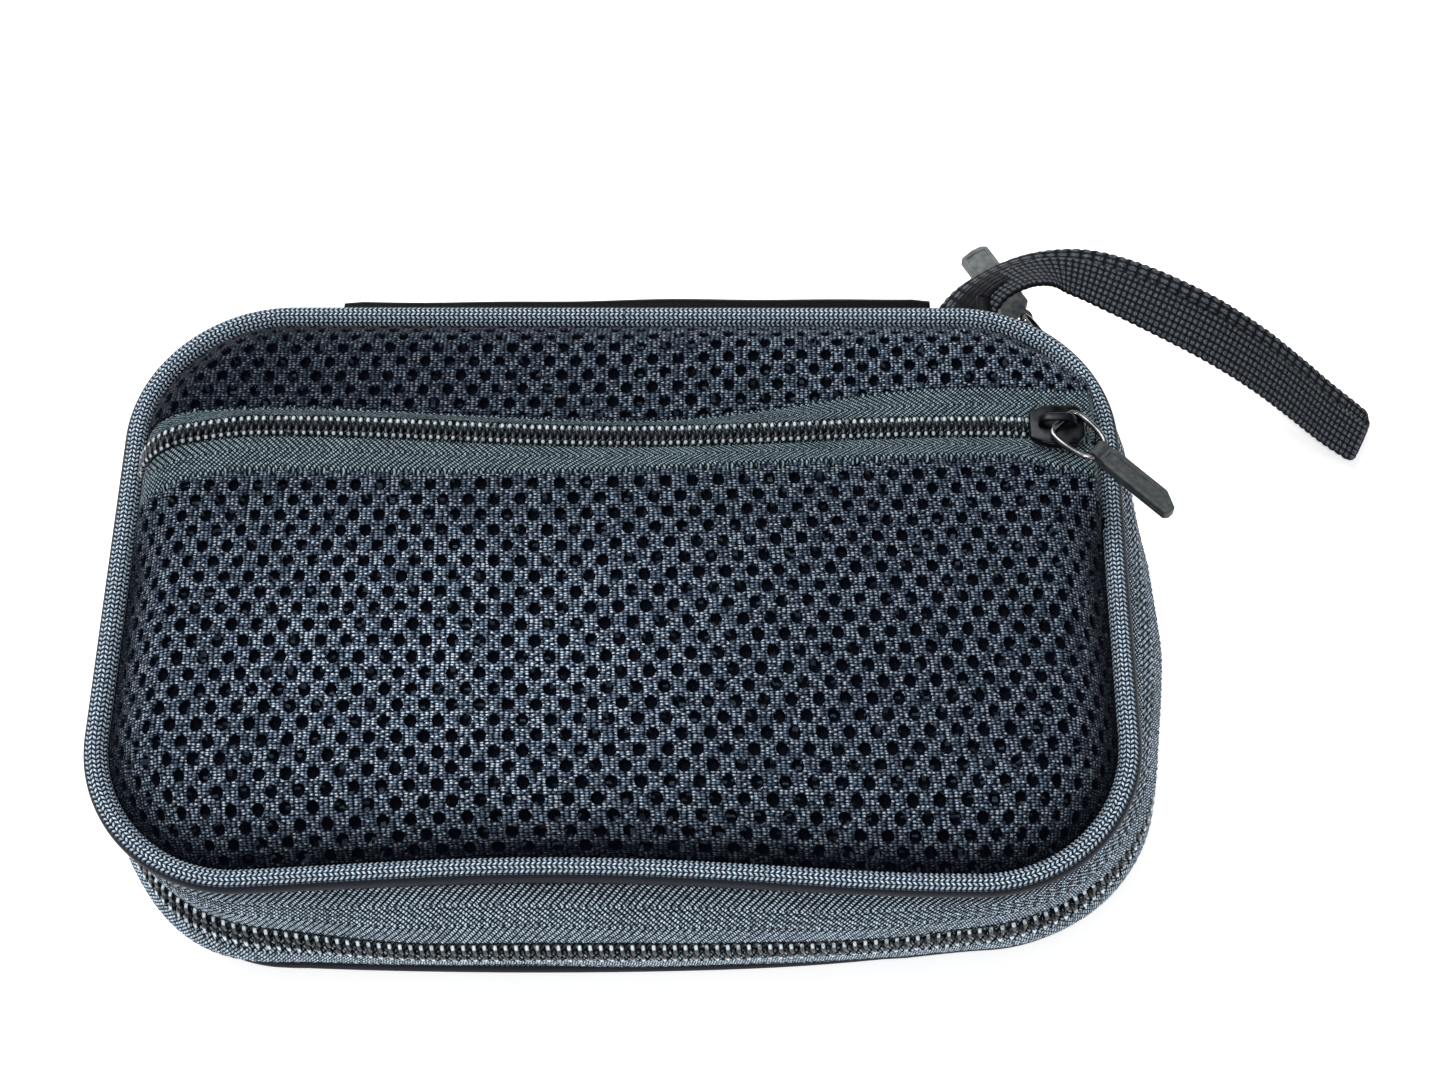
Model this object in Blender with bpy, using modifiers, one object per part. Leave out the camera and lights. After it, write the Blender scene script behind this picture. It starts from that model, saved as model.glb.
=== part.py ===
"""Zip-round soft carrying case for headphones, lying on its back.

Metres, +X along the width, +Y towards the hinge side, +Z up through the front.
The origin is the middle of the flat back. The front lid turns about its far
piping, and the wall behind it, with the spine, stays with the back.
"""
import math

import bmesh
import bpy
from mathutils import Matrix, Vector

# Outline of the seam line that carries both cords of piping
SEAM_WIDTH = 0.1662
SEAM_DEPTH = 0.1062
SEAM_CORNER_RADIUS = 0.0251
PIPING_RADIUS = 0.0019
PIPING_SIDES = 10
CORNER_STEPS = 8

# Clearances
SEWN_GAP = 0.0003
RUNNING_GAP = 0.0003
FLOOR_CLEARANCE = 0.0004

# Main zip, which is the side wall of the case
TAPE_HEIGHT = 0.0103
TAPE_THICKNESS = 0.0009
WALL_BULGE = 0.0049
CHAIN_HEIGHT = 0.0021
CHAIN_THICKNESS = 0.0020
CHAIN_SLIT = 0.0009
CHAIN_PROUD = 0.0008
LID_WALL_START = 45.0

# Spine, the padded strip on the hinge side, and the straight zip beyond its ends
ZIP_BEYOND_SPINE_LEFT = 0.0080
ZIP_BEYOND_SPINE_RIGHT = 0.0040
SPINE_BULGE = 0.0072
SPINE_THICKNESS = 0.0016
SPINE_FULLNESS = 0.12

# Back
BACK_MESH_THICKNESS = 0.0020
BACK_BOARD_THICKNESS = 0.0014
LINING_THICKNESS = 0.0006
BINDING_WIDTH = 0.0032
BINDING_THICKNESS = 0.0016

# Front
LID_BOARD_THICKNESS = 0.0016
FRONT_MESH_THICKNESS = 0.0022
DOME_RISE = 0.0097
DOME_BELLY = 0.0006
DOME_SHOULDER = 0.0110
DOME_FULLNESS = 0.8
PANEL_COLUMNS = 26
UPPER_PANEL_ROWS = 8
POCKET_PANEL_ROWS = 14

# Pocket zip across the front
POCKET_ZIP_FROM_SEAM = 0.0296
POCKET_UPPER_TAPE = 0.0021
POCKET_LOWER_TAPE = 0.0057
POCKET_TAPE_THICKNESS = 0.0008
POCKET_CHAIN_WIDTH = 0.0016
POCKET_CHAIN_THICKNESS = 0.0017
POCKET_LEFT_TURN = 0.0111
POCKET_RIGHT_TURN = 0.0046
POCKET_LEFT_LOW_ANGLE = 10.0
POCKET_RIGHT_LOW_ANGLE = 18.0
POCKET_TURN_STEPS = 4

# Sliders, wire bails and rubber pull tabs
SLIDER_LENGTH = 0.0092
SLIDER_PLATE = 0.0012
SLIDER_LIP = 0.0016
SLIDER_POST_LENGTH = 0.0030
SLIDER_POST_GAP = 0.0002
SLIDER_END_GAP = 0.0009
BRIDGE_LENGTH = 0.0064
BRIDGE_WIDTH = 0.0014
BRIDGE_BAR = 0.0008
BRIDGE_HEADROOM = 0.0005
BAIL_WIRE_RADIUS = 0.0005
WIRE_SIDES = 8
TAB_STANDOFF = 0.0007
TAB_LENGTH = 0.0172
TAB_WIDTH = 0.0056
TAB_HEAD_WIDTH = 0.0040
TAB_HEAD_LENGTH = 0.0030
TAB_THICKNESS = 0.0022
TAB_CORNER = 0.0012
TAB_EYE_SIDES = 12
TAB_KNUCKLE_WALL = 0.0005
POCKET_PIN_OFFSET = 0.0006
POCKET_PULL_HEADING = -45.0
MAIN_SLIDER_ANGLE = 57.0
MAIN_PULL_HEADING = 120.0

# Wrist strap of doubled webbing
STRAP_WIDTH = 0.0115
STRAP_THICKNESS = 0.0028
STRAP_STEPS = 30
STRAP_ROOT_STEPS = 3
STRAP_PAST_CORNER = 0.0060
STRAP_ABOVE_CHAIN = 0.00085
STRAP_END_LIFT = 0.0008
ANCHOR_REACH = 0.0025
ANCHOR_THICKNESS = 0.0034
# Points of the strap from its root to its fold: how far right of the root and how
# far beyond it, the share of its fall that is left, and its tilt in degrees
STRAP_ROUTE = (
    (0.0000, 0.0000, 1.000, 90.0),
    (0.0010, 0.0024, 1.000, 86.0),
    (0.0038, 0.0046, 1.008, 74.0),
    (0.0080, 0.0061, 1.017, 56.0),
    (0.0130, 0.0064, 1.017, 40.0),
    (0.0190, 0.0054, 1.004, 27.0),
    (0.0260, 0.0030, 0.975, 16.0),
    (0.0340, -0.0002, 0.913, 9.0),
    (0.0420, -0.0034, 0.806, 4.0),
    (0.0500, -0.0066, 0.620, 1.0),
    (0.0570, -0.0093, 0.384, 0.0),
    (0.0640, -0.0120, 0.149, 0.0),
    (0.0705, -0.0146, 0.000, 0.0),
)

# Heights and half sizes that follow from the values above
HALF_X = SEAM_WIDTH / 2
HALF_Y = SEAM_DEPTH / 2
CORNER_X = HALF_X - SEAM_CORNER_RADIUS
CORNER_Y = HALF_Y - SEAM_CORNER_RADIUS
SPINE_LEFT = ZIP_BEYOND_SPINE_LEFT - CORNER_X
SPINE_RIGHT = CORNER_X - ZIP_BEYOND_SPINE_RIGHT
BACK_SEAM_Z = PIPING_RADIUS + FLOOR_CLEARANCE
WALL_BOTTOM_Z = BACK_SEAM_Z + PIPING_RADIUS + SEWN_GAP
LOWER_CHAIN_Z = WALL_BOTTOM_Z + TAPE_HEIGHT + SEWN_GAP
ZIP_Z = LOWER_CHAIN_Z + CHAIN_HEIGHT + CHAIN_SLIT / 2
UPPER_CHAIN_Z = ZIP_Z + CHAIN_SLIT / 2
FRONT_SEAM_Z = 2 * ZIP_Z - BACK_SEAM_Z
WALL_TOP_Z = FRONT_SEAM_Z - PIPING_RADIUS - SEWN_GAP
CHAIN_OUTER = WALL_BULGE + CHAIN_PROUD
CHAIN_INNER = CHAIN_OUTER - CHAIN_THICKNESS
WALL_FOOT = PIPING_RADIUS / 2
WALL_INNER = min(WALL_FOOT - TAPE_THICKNESS, PIPING_RADIUS - SPINE_THICKNESS)
LINING_INSET = SEWN_GAP - WALL_INNER
PANEL_INSET = PIPING_RADIUS + SEWN_GAP
DOME_EDGE_Z = FRONT_SEAM_Z + SEWN_GAP
STRIP_TOP_Z = DOME_EDGE_Z + DOME_RISE + DOME_BELLY
POCKET_CHAIN_TOP = STRIP_TOP_Z + POCKET_CHAIN_THICKNESS - POCKET_TAPE_THICKNESS
POCKET_CHAIN_BASE = POCKET_CHAIN_TOP - POCKET_CHAIN_THICKNESS
POCKET_CHAIN_EDGE = CHAIN_SLIT / 2 + POCKET_CHAIN_WIDTH
POCKET_ZIP_Y = HALF_Y - POCKET_ZIP_FROM_SEAM
POCKET_FLAT_LEFT = POCKET_LEFT_TURN - HALF_X
POCKET_FLAT_RIGHT = HALF_X - POCKET_RIGHT_TURN
POCKET_SLIDER_X = POCKET_FLAT_RIGHT - SLIDER_END_GAP - SLIDER_LENGTH / 2

# The bail's legs pass the bridge's foot, and the tab's head starts past the plate's corner
PULL_COS = abs(math.cos(math.radians(POCKET_PULL_HEADING)))
PULL_SIN = abs(math.sin(math.radians(POCKET_PULL_HEADING)))
BRIDGE_FOOT = (BRIDGE_LENGTH / 2 - POCKET_PIN_OFFSET) * PULL_SIN + BRIDGE_WIDTH / 2 * PULL_COS
BAIL_HALF_WIDTH = BRIDGE_FOOT + RUNNING_GAP + BAIL_WIRE_RADIUS
PLATE_CORNER = ((SLIDER_LENGTH / 2 - POCKET_PIN_OFFSET) * PULL_COS
                + (POCKET_CHAIN_EDGE + SLIDER_LIP) * PULL_SIN)
TAB_EYE_RADIUS = BAIL_WIRE_RADIUS + RUNNING_GAP
TAB_KNUCKLE_RADIUS = TAB_EYE_RADIUS + TAB_KNUCKLE_WALL
BAIL_LENGTH = PLATE_CORNER + TAB_STANDOFF + TAB_HEAD_LENGTH / 2 + TAB_EYE_RADIUS

# The strap is sewn to the wall of the far right corner, just above the zip
STRAP_ROOT_X = CORNER_X + STRAP_PAST_CORNER
STRAP_ROOT_Z = UPPER_CHAIN_Z + CHAIN_HEIGHT + STRAP_ABOVE_CHAIN + STRAP_WIDTH / 2
STRAP_END_Z = FLOOR_CLEARANCE + STRAP_THICKNESS / 2 + STRAP_END_LIFT
ANCHOR_FOOT_Y = SEWN_GAP + CORNER_Y + math.sqrt(
    (SEAM_CORNER_RADIUS + WALL_BULGE) ** 2 - (STRAP_PAST_CORNER - ANCHOR_THICKNESS / 2) ** 2)
STRAP_ROOT_Y = ANCHOR_FOOT_Y + ANCHOR_REACH + RUNNING_GAP + STRAP_THICKNESS / 2

parts = bpy.data.collections.new("headphone_case")
guides = bpy.data.collections.new("cutters")


def clear_scene():
    for old in list(bpy.data.objects):
        bpy.data.objects.remove(old, do_unlink=True)
    bpy.context.scene.collection.children.link(parts)
    bpy.context.scene.collection.children.link(guides)


def finish_material(name, colour, roughness, metallic=0.0):
    material = bpy.data.materials.new(name)
    material.use_nodes = True
    shader = material.node_tree.nodes["Principled BSDF"]
    shader.inputs["Base Color"].default_value = (*colour, 1.0)
    shader.inputs["Roughness"].default_value = roughness
    shader.inputs["Metallic"].default_value = metallic
    return material


def joint_axis(name, location, parent=None):
    """An empty on a joint's axis, which carries the pieces that turn or slide there."""
    empty = bpy.data.objects.new(name, None)
    parts.objects.link(empty)
    empty.empty_display_size = 0.01
    empty.location = location
    if parent:
        empty.parent = parent
        empty.location = Vector(location) - world_place(parent)
    return empty


def world_place(item):
    place = Vector(item.location)
    while item.parent:
        item = item.parent
        place += item.location
    return place


def add_part(name, bm, material, carrier=None, collection=parts):
    """One sub-part from a mesh in world coordinates, hung on its carrier if it moves."""
    bmesh.ops.recalc_face_normals(bm, faces=bm.faces)
    mesh = bpy.data.meshes.new(name)
    bm.to_mesh(mesh)
    bm.free()
    part = bpy.data.objects.new(name, mesh)
    part.data.materials.append(material)
    collection.objects.link(part)
    if carrier:
        part.parent = carrier
        part.location = -world_place(carrier)
    return part


def add_tool(name, bm):
    """A helper solid for a Boolean, kept out of the parts."""
    tool = add_part(name, bm, finish_material(name, (0.5, 0.5, 0.5), 0.5), collection=guides)
    tool.hide_render = True
    tool.display_type = "WIRE"
    return tool


def combine(part, tool, operation):
    step = part.modifiers.new(operation.lower() + "_" + tool.name, "BOOLEAN")
    step.operation = operation
    step.object = tool
    if part.parent:
        tool.parent = part.parent
        tool.location = part.location


def sweep(profile, frames, closed=False):
    """Carry a flat profile of (out, up) points through the frames by extruding it."""
    bm = bmesh.new()
    corners = [bm.verts.new(frames[0] @ Vector((0.0, out, up))) for out, up in profile]
    first = bm.faces.new(corners)
    cap = first
    for before, after in zip(frames, frames[1:]):
        grown = bmesh.ops.extrude_face_region(bm, geom=[cap])["geom"]
        inner = cap
        cap = next(item for item in grown if isinstance(item, bmesh.types.BMFace))
        bmesh.ops.transform(bm, matrix=after @ before.inverted(), verts=cap.verts)
        if inner.is_valid and inner is not first:
            bmesh.ops.delete(bm, geom=[inner], context="FACES_ONLY")
    if closed:
        bmesh.ops.delete(bm, geom=[first, cap], context="FACES_ONLY")
        bmesh.ops.remove_doubles(bm, verts=bm.verts, dist=0.00001)
    return bm


def wall_frame(place, outward):
    """A frame on the seam line: x along the seam, y out of the case, z up."""
    out = Vector((outward[0], outward[1], 0.0))
    along = out.cross(Vector((0.0, 0.0, 1.0)))
    matrix = Matrix((along, out, Vector((0.0, 0.0, 1.0)))).transposed().to_4x4()
    matrix.translation = Vector((place[0], place[1], 0.0))
    return matrix


def corner_frames(side_x, side_y, first, last):
    centre = (side_x * CORNER_X, side_y * CORNER_Y)
    steps = max(2, round(CORNER_STEPS * abs(last - first) / 90.0))
    frames = []
    for step in range(steps + 1):
        angle = math.radians(first + (last - first) * step / steps)
        outward = (math.cos(angle), math.sin(angle))
        place = [c + SEAM_CORNER_RADIUS * o for c, o in zip(centre, outward)]
        frames.append(wall_frame(place, outward))
    return frames


def round_frames(first, last):
    """Frames from the far right corner, round the near side, to the far left corner."""
    frames = corner_frames(1, 1, first, 0.0)
    frames += corner_frames(1, -1, 0.0, -90.0)
    frames += corner_frames(-1, -1, -90.0, -180.0)
    frames += corner_frames(-1, 1, 180.0, last)
    return frames


def ring_frames():
    frames = round_frames(90.0, 90.0)
    return frames + frames[:1]


def far_frames(left, right):
    return [wall_frame((x, HALF_Y), (0.0, 1.0)) for x in (right, left)]


def zip_frames():
    """The whole run of the main zip, from the spine's right end to its left end."""
    start = far_frames(SPINE_LEFT, SPINE_RIGHT + SEWN_GAP)[:1]
    end = far_frames(SPINE_LEFT - SEWN_GAP, SPINE_RIGHT)[1:]
    return start + round_frames(90.0, 90.0) + end


def disc(radius, sides, out=0.0, up=0.0):
    turn = 2 * math.pi / sides
    return [(out + radius * math.cos(i * turn), up + radius * math.sin(i * turn)) for i in range(sides)]


def tape_bulge(share):
    """How far the wall stands out, from the seam (0) to the chain (1)."""
    return WALL_FOOT + (WALL_BULGE - WALL_FOOT) * math.sin(share * math.pi / 2)


def tape_profile(seam_z, chain_z, steps=4):
    shares = [i / steps for i in range(steps + 1)]
    outer = [(tape_bulge(s), seam_z + (chain_z - seam_z) * s) for s in shares]
    inner = [(out - TAPE_THICKNESS, up) for out, up in reversed(outer)]
    return outer + inner


def chain_profile(base_z):
    return [
        (CHAIN_INNER, base_z),
        (CHAIN_OUTER, base_z),
        (CHAIN_OUTER, base_z + CHAIN_HEIGHT),
        (CHAIN_INNER, base_z + CHAIN_HEIGHT),
    ]


def zip_end_profile():
    """Tape and chain of the fixed zip end, sewn together as one strip."""
    tape = tape_profile(WALL_TOP_Z, UPPER_CHAIN_Z + CHAIN_HEIGHT + SEWN_GAP)
    half = len(tape) // 2
    return tape[:half] + [
        (CHAIN_OUTER, UPPER_CHAIN_Z + CHAIN_HEIGHT),
        (CHAIN_OUTER, UPPER_CHAIN_Z),
        (CHAIN_INNER, UPPER_CHAIN_Z),
        (CHAIN_INNER, UPPER_CHAIN_Z + CHAIN_HEIGHT),
    ] + tape[half:]


def spine_profile(steps=12):
    """Section of the spine: a band of cloth that stands out squarely between the two seams."""
    height = WALL_TOP_Z - WALL_BOTTOM_Z
    outer = []
    inner = []
    for step in range(steps + 1):
        share = 0.5 - 0.5 * math.cos(math.pi * step / steps)
        swell = max(math.sin(share * math.pi), 0.0) ** SPINE_FULLNESS
        out = PIPING_RADIUS + (SPINE_BULGE - PIPING_RADIUS) * swell
        outer.append((out, WALL_BOTTOM_Z + height * share))
        inside = SPINE_THICKNESS + (height - 2 * SPINE_THICKNESS) * share
        inner.append((out - SPINE_THICKNESS, WALL_BOTTOM_Z + inside))
    return outer + inner[::-1]


def flat_outline(inset):
    return [frame @ Vector((0.0, -inset, 0.0)) for frame in round_frames(90.0, 90.0)]


def plate(inset, bottom, thickness):
    """A flat rounded sheet inside the seam line."""
    bm = bmesh.new()
    face = bm.faces.new([bm.verts.new(point) for point in flat_outline(inset)])
    grown = bmesh.ops.extrude_face_region(bm, geom=[face])["geom"]
    top = [item for item in grown if isinstance(item, bmesh.types.BMVert)]
    bmesh.ops.translate(bm, verts=top, vec=(0.0, 0.0, thickness))
    bmesh.ops.translate(bm, verts=bm.verts, vec=(0.0, 0.0, bottom))
    return bm


def dome_height(x, y):
    """Outer surface of the padded front at a point in plan."""
    over_x = abs(x) - CORNER_X
    over_y = abs(y) - CORNER_Y
    radius = SEAM_CORNER_RADIUS - PANEL_INSET
    outside = math.hypot(max(over_x, 0.0), max(over_y, 0.0))
    inside = radius - outside - min(max(over_x, over_y), 0.0)
    share = min(max(inside / DOME_SHOULDER, 0.0), 1.0)
    shoulder = math.sin(share * math.pi / 2) ** DOME_FULLNESS
    belly = math.cos(math.pi * y / SEAM_DEPTH)
    return DOME_EDGE_Z + DOME_RISE * shoulder + DOME_BELLY * belly * shoulder


def panel_half_width(y):
    radius = SEAM_CORNER_RADIUS - PANEL_INSET
    over = max(abs(y) - CORNER_Y, 0.0)
    return CORNER_X + math.sqrt(max(radius * radius - over * over, 0.0))


def dome_panel(name, near, far, rows, material, carrier):
    """A domed sheet of padded mesh between two lines across the front."""
    bm = bmesh.new()
    bmesh.ops.create_grid(bm, x_segments=PANEL_COLUMNS, y_segments=rows, size=1.0)
    for vert in bm.verts:
        across = math.sin(vert.co.x * math.pi / 2)
        share = (vert.co.y + 1.0) / 2
        edge = HALF_Y - PANEL_INSET
        if far >= edge:
            y = near + (edge - near) * math.sin(share * math.pi / 2)
        else:
            y = far - (far - near) * math.sin((1.0 - share) * math.pi / 2)
        x = across * panel_half_width(y)
        vert.co = (x, y, dome_height(x, y))
    part = add_part(name, bm, material, carrier)
    skin = part.modifiers.new("padding", "SOLIDIFY")
    skin.thickness = FRONT_MESH_THICKNESS
    skin.offset = -1.0
    return part


def strip_frames(top, right_bend):
    """Frames along the pocket zip: flat over the front and turned down at its ends."""
    rim_x = HALF_X - PANEL_INSET - SEWN_GAP
    rim_z = DOME_EDGE_Z + POCKET_TAPE_THICKNESS
    points = []
    for step in range(POCKET_TURN_STEPS + 1):
        share = step / POCKET_TURN_STEPS
        turn = math.radians(POCKET_LEFT_LOW_ANGLE + (90.0 - POCKET_LEFT_LOW_ANGLE) * share)
        reach = (rim_x + POCKET_FLAT_LEFT) * math.cos(turn)
        points.append((POCKET_FLAT_LEFT - reach, rim_z + (top - rim_z) * math.sin(turn)))
    points.append((POCKET_FLAT_RIGHT, top))
    if right_bend:
        for step in range(1, POCKET_TURN_STEPS + 1):
            share = step / POCKET_TURN_STEPS
            turn = math.radians(90.0 - (90.0 - POCKET_RIGHT_LOW_ANGLE) * share)
            reach = (rim_x - POCKET_FLAT_RIGHT) * math.cos(turn)
            points.append((POCKET_FLAT_RIGHT + reach, rim_z + (top - rim_z) * math.sin(turn)))
    frames = []
    for i, (x, z) in enumerate(points):
        before = points[max(i - 1, 0)]
        after = points[min(i + 1, len(points) - 1)]
        along = Vector((after[0] - before[0], 0.0, after[1] - before[1])).normalized()
        side = Vector((0.0, 1.0, 0.0))
        matrix = Matrix((along, along.cross(side), side)).transposed().to_4x4()
        matrix.translation = Vector((x, POCKET_ZIP_Y, z))
        frames.append(matrix)
    return frames


def block(size, centre):
    bm = bmesh.new()
    bmesh.ops.create_cube(bm, size=1.0)
    bmesh.ops.scale(bm, vec=size, verts=bm.verts)
    bmesh.ops.translate(bm, vec=centre, verts=bm.verts)
    return bm


def ease_edges(bm, width):
    bmesh.ops.bevel(
        bm, geom=bm.edges[:], offset=width, offset_type="OFFSET", segments=2,
        profile=0.5, affect="EDGES", material=-1,
    )
    return bm


def place(bm, matrix):
    bmesh.ops.transform(bm, matrix=matrix, verts=bm.verts)
    return bm


def slider_deck(high):
    """Height of the slider's outer face over a chain whose top is at high."""
    return high + RUNNING_GAP + SLIDER_PLATE


def slider(name, matrix, chain_edge, low, high, pin, material, carrier):
    """A zip slider: two plates joined by a post, with a bridge for the bail.

    Its own x runs along the zip, y across it and z out of the case. Chain and tape
    lie between the heights low and high, and the bail's pin is at the height pin.
    """
    width = 2 * (chain_edge + SLIDER_LIP)
    top = high + RUNNING_GAP
    bottom = low - RUNNING_GAP
    outer_size = (SLIDER_LENGTH, width, SLIDER_PLATE)
    outer = ease_edges(block(outer_size, (0.0, 0.0, top + SLIDER_PLATE / 2)), SLIDER_PLATE / 4)
    part = add_part(name, place(outer, matrix), material, carrier)
    inner = block(outer_size, (0.0, 0.0, bottom - SLIDER_PLATE / 2))
    overlap = SLIDER_PLATE / 2
    post_width = CHAIN_SLIT - 2 * SLIDER_POST_GAP
    post_size = (SLIDER_POST_LENGTH, post_width, top - bottom + 2 * overlap)
    post = block(post_size, (0.0, 0.0, (top + bottom) / 2))
    foot = slider_deck(high) - overlap
    crown = pin + BAIL_WIRE_RADIUS + BRIDGE_HEADROOM + BRIDGE_BAR / 2
    reach = BRIDGE_LENGTH / 2 - BRIDGE_BAR / 2
    shoulder = BRIDGE_BAR
    route = [
        (-reach, foot), (-reach, crown - shoulder), (-reach + shoulder, crown),
        (reach - shoulder, crown), (reach, crown - shoulder), (reach, foot),
    ]
    half_bar = BRIDGE_BAR / 2
    half_width = BRIDGE_WIDTH / 2
    section = [(-half_bar, -half_width), (half_bar, -half_width), (half_bar, half_width), (-half_bar, half_width)]
    bridge = sweep(section, path_frames([Vector((x, 0.0, z)) for x, z in route], Vector((0.0, 1.0, 0.0))))
    for label, tool in (("inner", inner), ("post", post), ("bridge", bridge)):
        combine(part, add_tool(name + "_" + label, place(tool, matrix)), "UNION")


def path_frames(points, side, closed=False):
    """Frames along a flat path, with the given side square to it."""
    frames = []
    count = len(points)
    for i, point in enumerate(points):
        before = points[(i - 1) % count] if closed else points[max(i - 1, 0)]
        after = points[(i + 1) % count] if closed else points[min(i + 1, count - 1)]
        into = (point - before).normalized() if point != before else (after - point).normalized()
        out_of = (after - point).normalized() if point != after else into
        along = (into + out_of).normalized()
        stretch = 1.0 / max(along.dot(into), 0.5)
        matrix = Matrix((along, side.cross(along) * stretch, side)).transposed().to_4x4()
        matrix.translation = point
        frames.append(matrix)
    return frames + frames[:1] if closed else frames


def bail(name, matrix, material, carrier):
    """A closed loop of wire: its pin on y at the origin, its far bar at BAIL_LENGTH."""
    ease = 2 * BAIL_WIRE_RADIUS
    corners = [
        (0.0, -BAIL_HALF_WIDTH, 180.0), (BAIL_LENGTH, -BAIL_HALF_WIDTH, 270.0),
        (BAIL_LENGTH, BAIL_HALF_WIDTH, 0.0), (0.0, BAIL_HALF_WIDTH, 90.0),
    ]
    points = []
    for x, y, start in corners:
        centre_x = x + ease if x == 0.0 else x - ease
        centre_y = y + ease if y < 0.0 else y - ease
        for step in range(4):
            turn = math.radians(start + 90.0 * step / 3)
            points.append(Vector((centre_x + ease * math.cos(turn), centre_y + ease * math.sin(turn), 0.0)))
    frames = path_frames(points, Vector((0.0, 0.0, 1.0)), closed=True)
    wire = sweep(disc(BAIL_WIRE_RADIUS, WIRE_SIDES), frames, closed=True)
    return add_part(name, place(wire, matrix), material, carrier)


def bar_round(radius, depth):
    """A round along y about the bail's far bar."""
    bm = bmesh.new()
    bmesh.ops.create_cone(
        bm, cap_ends=True, segments=TAB_EYE_SIDES, radius1=radius, radius2=radius, depth=depth,
        matrix=Matrix.Translation((BAIL_LENGTH, 0.0, 0.0)) @ Matrix.Rotation(math.pi / 2, 4, "X"),
    )
    return bm


def tab_slab(head):
    """The flat of a pull tab on x and z, with its thickness on y and its narrow end at head."""
    neck = BAIL_LENGTH + TAB_EYE_RADIUS + TAB_HEAD_LENGTH / 4
    end = BAIL_LENGTH - TAB_EYE_RADIUS - TAB_HEAD_LENGTH / 2 + TAB_LENGTH
    half_head = TAB_HEAD_WIDTH / 2
    half = TAB_WIDTH / 2
    cut = TAB_CORNER
    side = [
        (head, half_head - cut), (head + cut, half_head), (neck, half_head),
        (neck + half - half_head, half), (end - cut, half), (end, half - cut),
    ]
    outline = side + [(x, -z) for x, z in reversed(side)]
    bm = bmesh.new()
    corners = [bm.verts.new((x, -TAB_THICKNESS / 2, z)) for x, z in outline]
    grown = bmesh.ops.extrude_face_region(bm, geom=[bm.faces.new(corners)])["geom"]
    moved = [item for item in grown if isinstance(item, bmesh.types.BMVert)]
    bmesh.ops.translate(bm, verts=moved, vec=(0.0, TAB_THICKNESS, 0.0))
    return bm


def eyed_tab(name, matrix, material, carrier):
    """A rubber pull tab with a hole through its face for the bail's far bar, which runs on y."""
    head = BAIL_LENGTH - TAB_EYE_RADIUS - TAB_HEAD_LENGTH / 2
    part = add_part(name, place(tab_slab(head), matrix), material, carrier)
    eye = bar_round(TAB_EYE_RADIUS, 2 * TAB_THICKNESS)
    combine(part, add_tool(name + "_eye", place(eye, matrix)), "DIFFERENCE")


def flat_tab(name, matrix, material, carrier):
    """A rubber pull tab in the plane of its bail, with a knuckle moulded round the far bar.

    Flat and knuckle are as wide as each other, so they are joined in the tab's own frame,
    where their sides lie in the same planes, and the whole tab is then put in its place.
    """
    blank = add_tool(name + "_blank", place(tab_slab(BAIL_LENGTH), Matrix.Rotation(math.pi / 2, 4, "X")))
    combine(blank, add_tool(name + "_knuckle", bar_round(TAB_KNUCKLE_RADIUS, TAB_HEAD_WIDTH)), "UNION")
    combine(blank, add_tool(name + "_eye", bar_round(TAB_EYE_RADIUS, 2 * TAB_HEAD_WIDTH)), "DIFFERENCE")
    bm = bmesh.new()
    bm.from_object(blank, bpy.context.evaluated_depsgraph_get())
    add_part(name, place(bm, matrix), material, carrier)


def curve_point(points, place_along):
    """Catmull-Rom point on the route, with its tilt as the fourth value."""
    index = min(int(place_along), len(points) - 2)
    t = place_along - index
    ends = [points[min(max(index + k, 0), len(points) - 1)] for k in (-1, 0, 1, 2)]
    value = []
    for a, b, c, d in zip(*ends):
        value.append(0.5 * (2 * b + (c - a) * t + (2 * a - 5 * b + 4 * c - d) * t * t
                            + (3 * b - a - 3 * c + d) * t ** 3))
    return value


def strap_frames():
    route = []
    for right, beyond, fall, tilt in STRAP_ROUTE:
        height = STRAP_END_Z + (STRAP_ROOT_Z - STRAP_END_Z) * fall
        route.append((STRAP_ROOT_X + right, STRAP_ROOT_Y + beyond, height, tilt))
    last = len(route) - 1
    samples = [curve_point(route, last * i / STRAP_STEPS) for i in range(STRAP_STEPS + 1)]
    frames = []
    for i, (x, y, z, tilt) in enumerate(samples):
        before = Vector(samples[max(i - 1, 0)][:3])
        after = Vector(samples[min(i + 1, STRAP_STEPS)][:3])
        along = (after - before).normalized()
        if i == 0:
            along = Vector((0.0, 1.0, 0.0))
        right = along.cross(Vector((0.0, 0.0, 1.0))).normalized()
        upward = right.cross(along)
        roll = math.radians(tilt)
        flat = right * math.cos(roll) + upward * math.sin(roll)
        matrix = Matrix((along, flat.cross(along), flat)).transposed().to_4x4()
        matrix.translation = Vector((x, y, z))
        frames.append(matrix)
    return root_round(frames[0]) + frames


def root_round(first):
    """Frames that close the strap's root in a half round about its fold line."""
    frames = []
    for step in range(STRAP_ROOT_STEPS, 0, -1):
        angle = math.pi / 2 * step / (STRAP_ROOT_STEPS + 0.5)
        back = -STRAP_THICKNESS / 2 * math.sin(angle)
        thin = Matrix.Diagonal((1.0, math.cos(angle), 1.0, 1.0))
        frames.append(first @ Matrix.Translation((back, 0.0, 0.0)) @ thin)
    return frames


def strap_section():
    half = STRAP_THICKNESS / 2
    edge = STRAP_WIDTH / 2
    ease = STRAP_THICKNESS / 4
    quarter = [(half - ease, edge), (half, edge - ease)]
    right = quarter + [(x, -y) for x, y in reversed(quarter)]
    return right + [(-x, -y) for x, y in right]


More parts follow.
